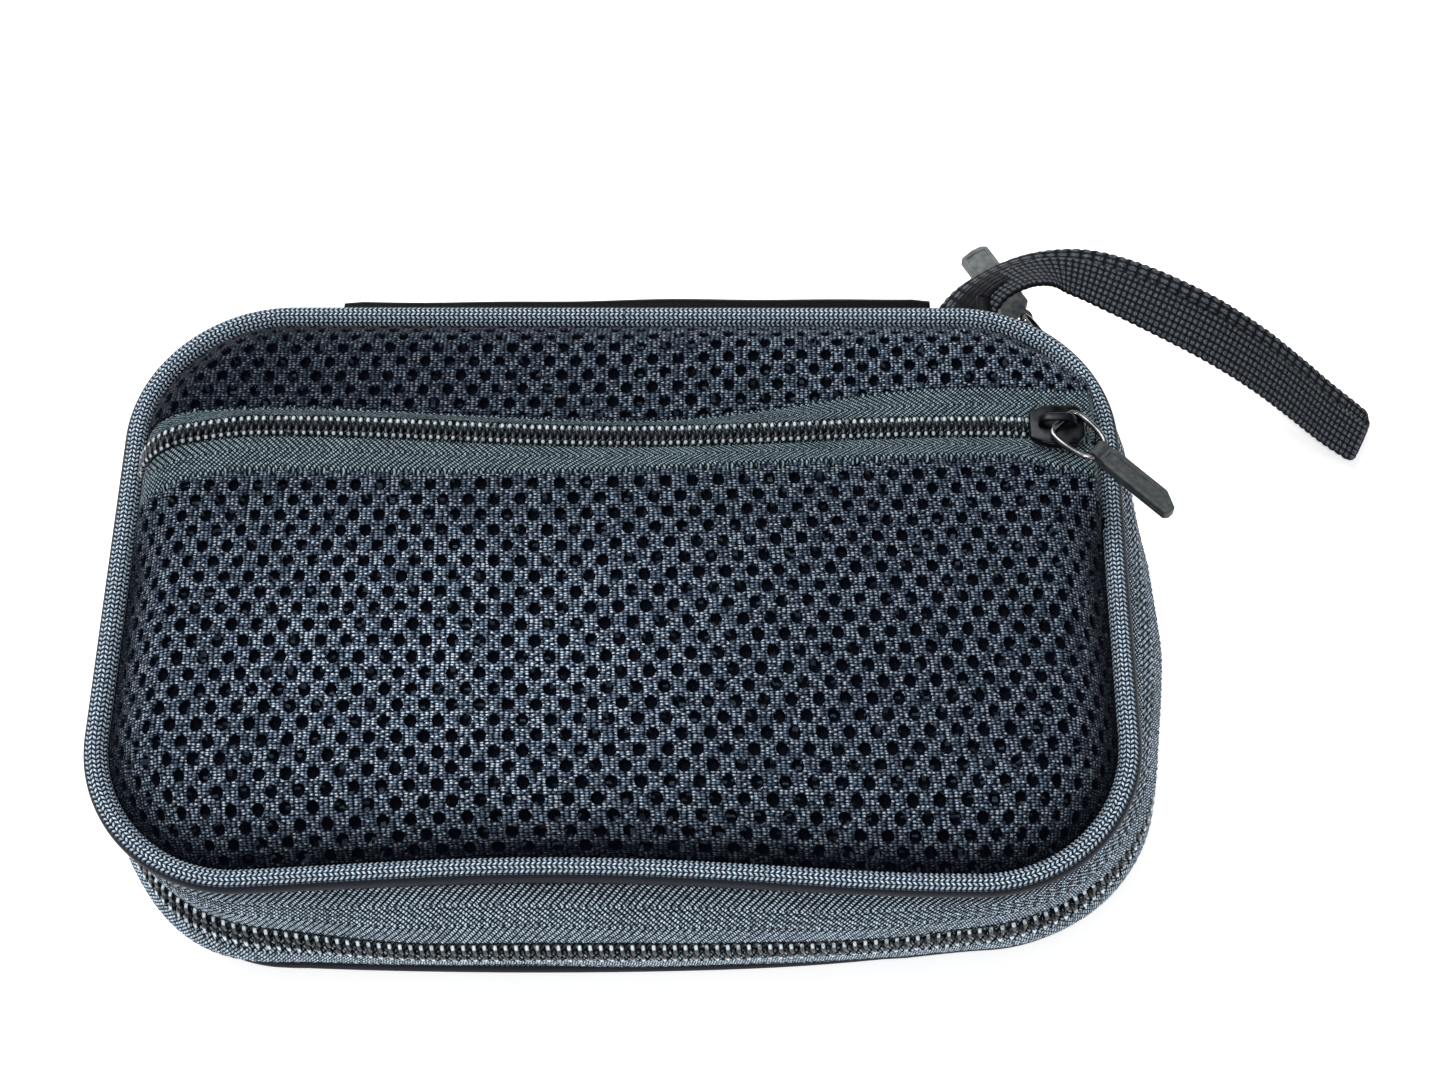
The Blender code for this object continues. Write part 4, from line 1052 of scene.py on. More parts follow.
def pocket_tape(name, side, free_side):
    """One tape of the pocket zip: from beneath the coil, up beside it, and in under the mesh."""
    table = strip_table(True)
    length = table[2][-1]
    row_at, *courses = zip(*STRIP_SECTION)

    def place(u, v):
        s = length * u
        x = np.interp(s, table[2], table[0])
        out_to, across, past, level = (np.interp(v, row_at, course) for course in courses)
        middle = zip_y + strip_wave(x)
        beside = middle + side * (chain_reach + POCKET_COIL_CLEAR)
        y = middle + (beside - middle) * out_to + (free_side(x) - beside) * across + side * past
        rib = TWILL_HEIGHT * STRIP_RIB * twill_height(s, ramp(v, *STRIP_FACE) * STRIP_TAPE_WIDTH)
        shown = (v > row_at[2]) & (v < row_at[3])
        return on_strip(table, s, y, level + np.where(shown, rib, 0.0))

    cloth = (length, STRIP_TAPE_WIDTH / STRIP_FACE[1])
    columns = int(length / STRIP_STEP)
    return wrap_grid(name, columns, STRIP_ROWS, place, cloth, pocket_tape_material, closed=True)


# Pocket coil nylon: two copies that differ only in where the painted highlight sits along a turn
pocket_nylon_material = nylon_finish("pocket_zip_nylon", PAINTED_HIGHLIGHT_AT, POCKET_PAINTED_HIGHLIGHT)
low_pocket_nylon_material = nylon_finish("pocket_zip_nylon_low", LOW_PAINTED_HIGHLIGHT_AT, POCKET_PAINTED_HIGHLIGHT)


def pocket_coil(name, low_y, high_y, head_side, phase):
    table = strip_table(False)
    rise = chain_high.z - strip_top - POCKET_COIL_HALF
    thick = POCKET_COIL_HALF - COIL_WIRE
    material = pocket_nylon_material if head_side > 0 else low_pocket_nylon_material

    def carry(s, across, out):
        x = np.interp(s, table[2], table[0])
        return on_strip(table, s, across + strip_wave(x), rise + out)

    return coil(name, table[2][-1], low_y, high_y, thick, head_side, phase, carry, POCKET_COIL_PITCH,
                material)


lower_strip = pocket_tape("pocket_lower_tape", -1, lower_edge)
dress(lower_strip, "lid", "zip_tape", "pocket_tape_lower")
upper_strip = pocket_tape("pocket_upper_tape", 1, upper_edge)
dress(upper_strip, "lid", "zip_tape", "pocket_tape_upper")
near_coil = pocket_coil("pocket_lower_coil", chain_low.y, chain_high.y, 1, 0.0)
dress(near_coil, "lid", "zip_nylon", "pocket_chain_lower")
far_coil = pocket_coil("pocket_upper_coil", far_chain_low.y, far_chain_high.y, -1, 0.5)
dress(far_coil, "lid", "zip_nylon", "pocket_chain_upper")


# Front panels: the same spacer mesh over soft padding, one above the pocket zip and one
# that is the pocket's face. They rise steeply from the piping to a soft, uneven top.
DOME_SHOULDER = 0.0110
DOME_FULLNESS = 0.8
DOME_BELLY = 0.0006
DOME_ROLL = 0.0008
STRIP_REACH = 0.013
ZIP_TUCK = 0.0022
# Flat cloth is laid out with some to spare round the front, and past the zip's edges
CLOTH_SPARE_X = 0.006
CLOTH_SPARE_Y = 0.005
POCKET_CLOTH_PAST = 0.004
UPPER_CLOTH_PAST = 0.011
# It is drawn wider in the middle, and its rows slant and rise from a line near the left end
CLOTH_WIDEN = 0.0025
CLOTH_WIDEN_X = 0.025
CLOTH_SLANT = 0.85
CLOTH_RISE = 0.16
CLOTH_PULL_START = 0.070
CLOTH_PULL_LENGTH = 0.160
CLOTH_ROW_START = 0.020
CLOTH_ROW_REACH = 0.040
# Two pillows of padding: height, and middle and width on x and on y; a valley between them
PILLOWS = ((0.0007, (-0.050, 0.026), (-0.012, 0.022)), (0.0006, (0.036, 0.034), (-0.006, 0.020)))
VALLEY = 0.0005
VALLEY_X = (-0.008, 0.014)
LUMPS = 0.00016
# Painted light and shade on the front panels: the pool of painted light on the pocket, where the rest
# of the pocket has less painted shade, and where the upper panel's painted shade grows lighter
PAINTED_LIGHT_X = (-0.026, 0.049)
PAINTED_LIGHT_Y = (-0.020, 0.028)
LESS_SHADE_X = (0.0, 0.05)
LESS_SHADE_Y = (0.034, 0.014)
UPPER_PAINTED_LIGHT_X = (-0.070, 0.110)
strip_profile = strip_table(True)
dome_edge_z = front_seam_z + SEWN_GAP
dome_rise = strip_top - dome_edge_z - DOME_BELLY
profile_d = np.linspace(0.0, DOME_SHOULDER, 400)
profile_h = dome_rise * np.sin(profile_d / DOME_SHOULDER * math.pi / 2) ** DOME_FULLNESS
profile_a = run_of(profile_d, profile_h)
dome_spare = profile_a[-1] - DOME_SHOULDER


def swelling(x, y):
    """Soft bulges of the padding: two pillows with a shallow valley between them."""
    pillows = sum(height * bell((x, *on_x), (y, *on_y)) for height, on_x, on_y in PILLOWS)
    lumps = LUMPS * np.sin(x * 210.0 + 1.3 * np.sin(y * 160.0)) * np.sin(y * 240.0 + 0.8)
    return pillows - VALLEY * bell((x, *VALLEY_X)) + lumps


def askew(x, y):
    """Cloth drawn a little out of true: wider in the middle, its rows rising to the right."""
    pulled = np.clip(x + CLOTH_PULL_START, 0.0, CLOTH_PULL_LENGTH)
    row = np.clip(y + CLOTH_ROW_START, -CLOTH_ROW_REACH, CLOTH_ROW_REACH)
    wide = x + CLOTH_WIDEN * np.tanh(x / CLOTH_WIDEN_X)
    return wide - CLOTH_SLANT * row * pulled, y + CLOTH_RISE * pulled * pulled


def dome_surface(x, y):
    """The padded front: cloth led inwards over its shoulder by its own length."""
    x, y = askew(x, y)
    along, out_x, out_y = way_in(x, y, PANEL_INSET - dome_spare)
    inside = np.interp(along, profile_a, profile_d) + np.maximum(along - profile_a[-1], 0.0)
    height = np.interp(inside, profile_d, profile_h)
    shift = inside - (along - dome_spare)
    plan_x = x - out_x * shift
    plan_y = y - out_y * shift
    full = height / dome_rise
    z = dome_edge_z + height + DOME_BELLY * np.cos(math.pi * plan_y / (2 * half_y)) * full
    z = z + swelling(plan_x, plan_y) * full ** 2
    beside = np.maximum(np.maximum(lower_edge(plan_x) - plan_y, plan_y - upper_edge(plan_x)), 0.0)
    near = smooth(unit(1.0 - beside / STRIP_REACH))
    z = z + near * (np.interp(plan_x, *strip_profile[:2]) - z) + np.clip(along, -TUCK_DEPTH, 0.0)
    # the last value is painted shade: on the shoulder, where the front falls to the seam, and less beside
    # the zip
    return plan_x, plan_y + near_wave(plan_x, plan_y), z, (1.0 - full) * (1.0 - 0.72 * near)


def panel_surface(line, side, shade_at):
    """A front panel on one side of the zip, with its edge there folded under."""
    def surface(x, y):
        plan_x, plan_y, z, painted_shade = dome_surface(x, y)
        edge = line(plan_x) + side * SEWN_GAP
        spare = DOME_ROLL * (math.pi / 2 - 1.0)
        inward, drop = roll_edge(side * (plan_y - edge) + spare, DOME_ROLL)
        place = np.stack((plan_x, edge + side * inward, z - drop), axis=1)
        # painted shade: the panel's own, that on the shoulder, and more where the edge turns under by the
        # zip
        return place, unit(shade_at(plan_x, plan_y) + painted_shade ** 1.5 + drop / DOME_ROLL * 0.4)
    return surface


def off_panel(line, side):
    """Whether a point of flat cloth lies outside the front's outline or past the zip's edge."""
    def outside(x, y):
        x, y = askew(x, y)
        inside = way_in(x, y, PANEL_INSET - dome_spare)[0]
        return inside < -TUCK_DEPTH or side * (float(line(x)) - y) > ZIP_TUCK
    return outside


def pocket_painted_shade(x, y):
    """How much painted shade lies on the pocket's yarn: least in a pool of painted light in its middle,
    less at the right and by the near seam.
    """
    base_shade = 0.65 - 0.09 * ramp(x, *LESS_SHADE_X) - 0.24 * ramp(-y, *LESS_SHADE_Y)
    return base_shade * (1.0 - bell((x, *PAINTED_LIGHT_X), (y, *PAINTED_LIGHT_Y)))


# Painted shade on the upper panel, lighter towards the right
def upper_painted_shade(x, y):
    return 0.93 - 0.50 * ramp(x, *UPPER_PAINTED_LIGHT_X)


reach_x = half_x + dome_spare + CLOTH_SPARE_X
reach_y = half_y + dome_spare + CLOTH_SPARE_Y
pocket_cloth = holed_cloth((-reach_x, -reach_y), (reach_x, strip_low.y + POCKET_CLOTH_PAST))
pocket_face = panel_surface(lower_edge, -1, pocket_painted_shade)
pocket_panel = mesh_panel("pocket_panel", pocket_cloth, pocket_face, off_panel(lower_edge, -1))
dress(pocket_panel, "lid", "air_mesh", "pocket_mesh_panel")
upper_cloth = holed_cloth((-reach_x, strip_far_y - UPPER_CLOTH_PAST), (reach_x, reach_y))
upper_face = panel_surface(upper_edge, 1, upper_painted_shade)
upper_panel = mesh_panel("upper_panel", upper_cloth, upper_face, off_panel(upper_edge, 1))
dress(upper_panel, "lid", "air_mesh", "upper_mesh_panel")


# Pocket slider: a cast body with two plates round the coil and an arched bridge on top,
# in dark gunmetal.
SLIDER_LENGTH = 0.0092
SLIDER_PLATE = 0.0012
SLIDER_LIP = 0.0016
SLIDER_TAPER = 0.72
PLATE_EASE = 0.00035
POST_SHAPE = ((-0.0010, -0.00025), (0.0020, -0.00025), (0.0020, 0.00025), (-0.0010, 0.00025))
POST_BITE = 0.0003
POST_EASE = 0.0001
LIP_HALF_WIDTH = 0.0004
LIP_HALF_HEIGHT = 0.0007
BRIDGE_HALF_WIDTH = 0.0007
BRIDGE_BAR = 0.0008
BRIDGE_REACH = 0.0032
BRIDGE_SQUARE = 0.55
PIN_CLEAR = 0.0005
RUNNING_GAP = 0.0003
WIRE_RADIUS = 0.0005


def metal_finish(name, dark, light, roughness):
    material, tree = new_finish(name, roughness, metallic=1.0)
    wear = noise(tree, object_map(tree), 420.0, 4.0)
    tone = mix(tree, span(tree, wear, 0.35, 0.70), dark, light)
    return close_finish(material, tone, wear, 0.08, 0.0001, scaled(tree, wear, 0.25, roughness - 0.1))


slider_material = metal_finish("slider_metal", (0.010, 0.011, 0.013), (0.034, 0.036, 0.039), 0.36)


def directions(rows):
    return rows / np.linalg.norm(rows, axis=1)[:, None]


def swept(name, route, upright, half_wide, half_thick, material, closed=False, power=1.0, sides=12):
    """A rounded section carried along a route of points, with its thickness towards upright."""
    route = np.asarray(route, float)
    if closed:
        route = np.vstack((route, route[:1]))
        before = np.vstack((route[-2:-1], route[:-1]))
        after = np.vstack((route[1:], route[1:2]))
    else:
        before = np.vstack((route[:1], route[:-1]))
        after = np.vstack((route[1:], route[-1:]))
    along = directions(after - before)
    across = directions(np.cross(along, np.broadcast_to(np.asarray(upright, float), route.shape)))
    over = np.cross(across, along)
    count = len(route) - 1
    length = float(np.linalg.norm(np.diff(route, axis=0), axis=1).sum())

    def place(u, v):
        at = np.rint(u * count).astype(int)
        wide = half_wide * squared(np.cos(2 * math.pi * v), power)
        thick = half_thick * squared(np.sin(2 * math.pi * v), power)
        return (route[at] + across[at] * wide[:, None] + over[at] * thick[:, None]).T

    cloth = (length, 4 * (half_wide + half_thick))
    return wrap_grid(name, count, sides, place, cloth, material, closed=True)


def join(target, *others):
    """Put the meshes of some pieces into one piece."""
    bm = bmesh.new()
    for piece in (target, *others):
        bm.from_mesh(piece.data)
    bm.to_mesh(target.data)
    bm.free()
    for piece in others:
        bpy.data.objects.remove(piece)
    return target


def move_in(piece, matrix):
    piece.data.transform(matrix)
    return piece


def plate_outline(length, tail, mouth):
    """A slider plate from above: a narrow tail, a wide mouth and rounded corners."""
    half = length / 2
    corners = ((-half, tail), (-half * 0.25, mouth), (half * 0.72, mouth), (half, mouth * 0.62))
    return [*corners, *((x, -y) for x, y in reversed(corners))]


def slab(outline, low, high, ease, steps=2):
    """A plate with eased edges, from its outline on x and y."""
    bm = bmesh.new()
    face = bm.faces.new([bm.verts.new((x, y, low)) for x, y in outline])
    grown = bmesh.ops.extrude_face_region(bm, geom=[face])["geom"]
    moved = [item for item in grown if isinstance(item, bmesh.types.BMVert)]
    bmesh.ops.translate(bm, verts=moved, vec=(0.0, 0.0, high - low))
    bmesh.ops.recalc_face_normals(bm, faces=bm.faces)
    bmesh.ops.bevel(bm, geom=bm.edges[:], offset=ease, offset_type="OFFSET", segments=steps, profile=0.5,
                    affect="EDGES", material=-1)
    return bm


def slider_body(name, matrix, chain_edge, low, high, pin):
    """A zip slider: x along the zip towards its mouth, y across it and z out of the case."""
    mouth = chain_edge + SLIDER_LIP
    tail = mouth * SLIDER_TAPER
    top = high + RUNNING_GAP
    bottom = low - RUNNING_GAP
    shape = plate_outline(SLIDER_LENGTH, tail, mouth)
    outer = slab(shape, top, top + SLIDER_PLATE, PLATE_EASE, 3)
    inner = slab(shape, bottom - SLIDER_PLATE, bottom, PLATE_EASE)
    post = slab(POST_SHAPE, bottom - POST_BITE, top + POST_BITE, POST_EASE)
    slabs = [new_piece(name, outer, slider_material)]
    slabs.append(new_piece(name + "_inner", inner, slider_material))
    slabs.append(new_piece(name + "_post", post, slider_material))
    lips = []
    for side in (-1, 1):
        plan = ((-0.40, tail * 1.02), (-0.12, mouth * 0.97), (0.34, mouth * 0.97))
        rail = [(SLIDER_LENGTH * share, side * y, top + SLIDER_PLATE * 0.25) for share, y in plan]
        lips.append(swept(name + "_lip", rail, (0.0, 0.0, 1.0), LIP_HALF_WIDTH, LIP_HALF_HEIGHT,
                          slider_material, power=0.6))
    turn = np.linspace(0.0, math.pi, 25)
    crown = pin + WIRE_RADIUS + PIN_CLEAR + BRIDGE_BAR / 2
    foot = top + SLIDER_PLATE * 0.6
    arch_x = -(BRIDGE_REACH - BRIDGE_BAR / 2) * squared(np.cos(turn), BRIDGE_SQUARE)
    arch_z = foot + (crown - foot) * np.sin(turn) ** BRIDGE_SQUARE
    route = np.stack((arch_x, np.zeros(25), arch_z), axis=1)
    bridge = swept(name + "_bridge", route, (0.0, 1.0, 0.0), BRIDGE_BAR / 2, BRIDGE_HALF_WIDTH,
                   slider_material, power=BRIDGE_SQUARE)
    return move_in(join(*slabs, *lips, bridge), matrix)


slider_low, slider_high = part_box("pocket_slider")
pocket_pin = Vector((0.0736, zip_y, 0.0468))
pocket_place = Matrix.Translation(((slider_low.x + slider_high.x) / 2, zip_y, 0.0))
pocket_slider = slider_body("pocket_slider_body", pocket_place, chain_reach, chain_low.z, chain_high.z,
                            pocket_pin.z)
dress(pocket_slider, "pocket_slider", "slider_metal", "pocket_slider")


# Pocket bail: a bent steel wire that runs through the slider's bridge and is closed to a
# loop, rounded at its far end.
BAIL_HALF_WIDTH = 0.003133
BAIL_LENGTH = 0.008409
BAIL_SQUARE = 0.62
PULL_HEADING = -45.0
steel_material = metal_finish("bail_steel", (0.10, 0.105, 0.11), (0.30, 0.31, 0.32), 0.2)


def wire_loop(name, matrix):
    """A D-shaped loop: its pin on y at the origin, its bow towards x."""
    turn = np.linspace(-math.pi / 2, math.pi / 2, 41)
    bow_x = BAIL_LENGTH * np.abs(np.cos(turn)) ** BAIL_SQUARE
    bow_y = BAIL_HALF_WIDTH * squared(np.sin(turn), BAIL_SQUARE)
    pin_y = np.linspace(BAIL_HALF_WIDTH, -BAIL_HALF_WIDTH, 12)[1:-1]
    route = np.zeros((51, 3))
    route[:, 0] = np.concatenate((bow_x, np.zeros(10)))
    route[:, 1] = np.concatenate((bow_y, pin_y))
    for _ in range(3):
        route = (np.roll(route, 1, axis=0) + 2 * route + np.roll(route, -1, axis=0)) / 4
    wire = swept(name, route, (0.0, 0.0, 1.0), WIRE_RADIUS, WIRE_RADIUS, steel_material, closed=True)
    return move_in(wire, matrix)


pocket_turned = Matrix.Translation(pocket_pin) @ Matrix.Rotation(math.radians(PULL_HEADING), 4, "Z")
dress(wire_loop("pocket_wire", pocket_turned), "pocket_bail", "bail_steel", "pocket_bail")


# Pocket tab: dark grey moulded rubber, its knuckle round the bail's bow, with a raised
# rim round a plain sunk face and a chamfered tip.
TAB_LENGTH = 0.0149
TAB_HALF_WIDTH = 0.0018
TAB_HEAD_HALF = 0.0016
TAB_THICKNESS = 0.0022
TAB_NECK = 0.00155
TAB_SHOULDER = 0.0009
TAB_CORNER = 0.0006
TAB_EASE = 0.0003
TAB_RIM = 0.00055
TAB_RIM_SLOPE = 0.0002
TAB_SINK = 0.00022
KNUCKLE_RADIUS = 0.0013
KNUCKLE_CLEAR = 0.0002
FLAT_START = 0.0009
FLAT_TIP = 0.0010
FLAT_SLANT = 0.0030


def rubber_finish(name, dark, light):
    material, tree = new_finish(name, 0.5, specular=0.3)
    dust = noise(tree, object_map(tree), 900.0, 4.0)
    return close_finish(material, mix(tree, span(tree, dust, 0.3, 0.7), dark, light), dust, 0.15, 0.0001)


rubber_material = rubber_finish("tab_rubber", (0.026, 0.031, 0.033), (0.054, 0.062, 0.065))
# A lighter copy of the tab rubber, painted light for the main tab, which faces up
painted_light_rubber_material = rubber_finish("tab_rubber_painted_light", (0.090, 0.098, 0.102), (0.170, 0.182, 0.186))


def pull_tab(name, start, length, half, slant):
    """A flat tab on x and y, its knuckle's bar on y at the bail's bow, its tip cut off at a slant."""
    neck = BAIL_LENGTH + TAB_NECK
    end = BAIL_LENGTH + length
    outline = (
        (start, TAB_HEAD_HALF), (neck, TAB_HEAD_HALF), (neck + TAB_SHOULDER, half), (end - slant, half),
        (end, half * 0.1), (end, -half * 0.6), (end - TAB_CORNER, -half), (neck + TAB_SHOULDER, -half),
        (neck, -TAB_HEAD_HALF), (start, -TAB_HEAD_HALF),
    )
    bm = slab(outline, -TAB_THICKNESS / 2, TAB_THICKNESS / 2, TAB_EASE, 3)
    bm.faces.ensure_lookup_table()
    for face in sorted(bm.faces, key=lambda face: -face.calc_area())[:2]:
        bmesh.ops.inset_region(bm, faces=[face], thickness=TAB_RIM, depth=0.0)
        bmesh.ops.inset_region(bm, faces=[face], thickness=TAB_RIM_SLOPE, depth=-TAB_SINK)
    return new_piece(name, bm, rubber_material, smooth_faces=False)


def knuckle(name, half_width, outer, inner):
    """A rounded tube about the bail's bow."""
    turn = np.linspace(0.0, 2 * math.pi, 33)[:-1]
    middle = (outer + inner) / 2
    ring = np.zeros((32, 3))
    ring[:, 0] = BAIL_LENGTH + middle * np.cos(turn)
    ring[:, 2] = middle * np.sin(turn)
    return swept(name, ring, (0.0, 1.0, 0.0), (outer - inner) / 2, half_width, rubber_material,
                 closed=True, power=0.5)


flat_tab = pull_tab("pocket_pull", BAIL_LENGTH + FLAT_START, TAB_LENGTH + FLAT_TIP, TAB_HALF_WIDTH,
                    FLAT_SLANT)
flat_knuckle = knuckle("pocket_knuckle", TAB_HEAD_HALF, KNUCKLE_RADIUS, WIRE_RADIUS + KNUCKLE_CLEAR)
pocket_pull = move_in(join(flat_tab, flat_knuckle), pocket_turned)
dress(pocket_pull, "pocket_tab", "tab_rubber", "pocket_tab")


# Main slider, bail and tab: the same castings on the zip round the wall. This tab hangs
# level from an eye through its face.
SLIDER_ANGLE = math.radians(57.0)
MAIN_HEADING = 120.0
MAIN_PIN = 0.0080
MAIN_TAB_HALF_WIDTH = 0.0028
EYE_RADIUS = 0.0019
EYE_HOLE = 0.0009
EYE_EASE = 0.0001
LEVEL_START = 0.0011
LEVEL_TIP = 0.0022
COIL_BENEATH = 0.0012
COIL_PROUD = 0.0008
outward = Vector((math.cos(SLIDER_ANGLE), math.sin(SLIDER_ANGLE), 0.0))
tangent = Vector((-outward.y, outward.x, 0.0))
main_foot = Vector((corner_x, corner_y, zip_z)) + outward * CORNER_RADIUS
main_place = Matrix((tangent, outward.cross(tangent), outward)).transposed().to_4x4()
main_place.translation = leaning(*main_foot)
main_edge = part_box("front_zip_chain")[1].z - zip_z
coil_bottom = COIL_FLOOR - COIL_BENEATH
coil_top = wall_bulge + COIL_PROUD
main_slider = slider_body("main_slider_body", main_place, main_edge, coil_bottom, coil_top, MAIN_PIN)
dress(main_slider, "main_slider", "slider_metal", "main_slider")
main_pin = main_place @ Vector((0.0, 0.0, MAIN_PIN))
main_turned = Matrix.Translation(main_pin) @ Matrix.Rotation(math.radians(MAIN_HEADING), 4, "Z")
main_upright = main_turned @ Matrix.Rotation(math.pi / 2, 4, "X")
dress(wire_loop("main_wire", main_upright), "main_bail", "bail_steel", "main_bail")
level_tab = pull_tab("main_pull", BAIL_LENGTH + LEVEL_START, TAB_LENGTH + LEVEL_TIP, MAIN_TAB_HALF_WIDTH,
                     TAB_CORNER)
eye = knuckle("main_eye", TAB_THICKNESS / 2 - EYE_EASE, EYE_RADIUS, EYE_HOLE)
move_in(eye, Matrix.Rotation(math.pi / 2, 4, "X"))
main_pull = move_in(join(level_tab, eye), main_turned)
# the main tab takes the lighter copy of the rubber: painted light, as it faces up
main_pull.data.materials[0] = painted_light_rubber_material
dress(main_pull, "main_tab", "tab_rubber", "main_tab")


# Strap anchor: a short folded tape, sewn in where the wall meets the closed end of the
# zip, that the wrist strap hangs from.
ANCHOR_DROP = 0.0012
ANCHOR_TRIM = 0.0018
ANCHOR_BACK = 0.001
ANCHOR_STEP = 0.0006
anchor_low, anchor_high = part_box("strap_anchor")
anchor_x = (anchor_low.x + anchor_high.x) / 2
anchor_z = (anchor_low.z + anchor_high.z) / 2 - ANCHOR_DROP
anchor_foot = anchor_low.y - ANCHOR_BACK
anchor_route = [(anchor_x, anchor_foot + step * ANCHOR_STEP, anchor_z) for step in range(7)]
anchor_wide = (anchor_high.z - anchor_low.z) / 2 - ANCHOR_TRIM
anchor_thick = (anchor_high.x - anchor_low.x) / 2
anchor = swept("anchor_tape", anchor_route, (1.0, 0.0, 0.0), anchor_wide, anchor_thick, spine_material,
               power=0.4, sides=24)
dress(anchor, "base", "spine_cloth", "strap_anchor")


# Wrist strap: one length of webbing doubled into a flat loop. Both ends are sewn in at
# the anchor, and the loop lies over on the floor with its fold at the free end.
STRAP_HALF_WIDTH = 0.0043
STRAP_SHIFT = 0.0019
STRAP_SHIFT_OVER = (0.04, 0.28)
STRAP_HALF_THICK = 0.00062
STRAP_LAYER = 0.00074
STRAP_COLUMNS = 900
STRAP_ROWS = 48
STRAP_STEPS = 160
STRAP_EDGE_SQUARE = 0.35
STRAP_FACE_SQUARE = 0.5
STRAP_NOTCH = 0.0015
STRAP_FOLD_AT = 0.088
STRAP_COARSE = 0.52
WEAVE_LENGTH = 0.00105
WEAVE_WIDTH = 0.00124
WEAVE_HEIGHT = 0.00016
# Stations of the upper and the lower layer, in millimetres, with the tilt in degrees
STRAP_SHARED = (
    (77.0, 67.4, 27.4, 14.0), (83.0, 66.6, 27.0, 2.0), (90.0, 64.1, 26.2, -8.0),
    (98.0, 61.0, 24.4, -14.0), (106.0, 58.0, 21.6, -15.0), (114.2, 55.2, 17.0, -13.0),
    (121.4, 52.8, 11.6, -10.0), (128.2, 50.2, 6.4, -6.0), (134.2, 47.3, 3.2, 0.0),
)
STRAP_FAR_ROOT = (
    (57.4, 56.6, 24.6, 24.0), (59.8, 60.0, 27.0, 26.0), (64.2, 63.9, 28.4, 36.0), (70.4, 67.0, 28.4, 34.0),
)
STRAP_NEAR_ROOT = (
    (62.7, 58.0, 25.8, 27.0), (63.9, 60.1, 27.0, 28.0), (66.4, 62.5, 27.9, 34.0), (71.2, 65.6, 28.2, 28.0),
)


def webbing_finish():
    """Coarse basket weave: light yarn crowns in staggered rows, black between them, and on the lower layer
    a painted shadow towards the upper layer's edge.
    """
    material, tree = new_finish("strap_webbing", 0.6, specular=0.1)
    cloth = cloth_map(tree)
    length, width = add_node(tree, "SeparateXYZ", Vector=cloth).outputs[:2]
    beneath = figure(tree, "LESS_THAN", length, STRAP_FOLD_AT)
    run = times(tree, length, scaled(tree, beneath, STRAP_COARSE - 1.0, 1.0))
    along = beat(tree, "COSINE", run, math.pi / WEAVE_LENGTH)
    crown = figure(tree, "ABSOLUTE", times(tree, along, beat(tree, "COSINE", width, math.pi / WEAVE_WIDTH)))
    fibre = noise(tree, cloth, 3000.0, 2.0)
    # painted shadow: the lower layer goes black towards the upper layer's edge and beneath it
    painted_shadow = times(tree, beneath, span(tree, width, -0.0017, -0.0009))
    shade = figure(tree, "SUBTRACT", 1.0, painted_shadow)
    lit = times(tree, span(tree, crown, 0.10, 0.85), span(tree, fibre, 0.28, 0.66), shade)
    tone = mix(tree, lit, (0.003, 0.0035, 0.005), (0.120, 0.140, 0.170))
    return close_finish(material, tone, figure(tree, "ADD", crown, times(tree, fibre, 0.3)), 0.7, 0.00025)


webbing_material = webbing_finish()


def smooth_route(stations, steps):
    """Catmull-Rom samples of a list of stations."""
    ends = np.array([stations[0], *stations, stations[-1]], float)
    place = np.linspace(0.0, len(stations) - 1.000001, steps)
    at = place.astype(int)
    t = (place - at)[:, None]
    a, b, c, d = (ends[at + k] for k in range(4))
    bend = (2 * a - 5 * b + 4 * c - d) * t ** 2
    return 0.5 * (2 * b + (c - a) * t + bend + (3 * b - a - 3 * c + d) * t ** 3)


def strap_layer(root):
    """Places, width directions, normals and headings along one layer, from its root to the fold."""
    samples = smooth_route((*root, *STRAP_SHARED), STRAP_STEPS)
    place = samples[:, :3] / 1000.0
    tilt = np.radians(samples[:, 3])[:, None]
    along = directions(np.gradient(place, axis=0))
    right = directions(np.cross(along, (0.0, 0.0, 1.0)))
    flat = right * np.cos(tilt) + np.cross(right, along) * np.sin(tilt)
    return place, flat, np.cross(flat, along), along


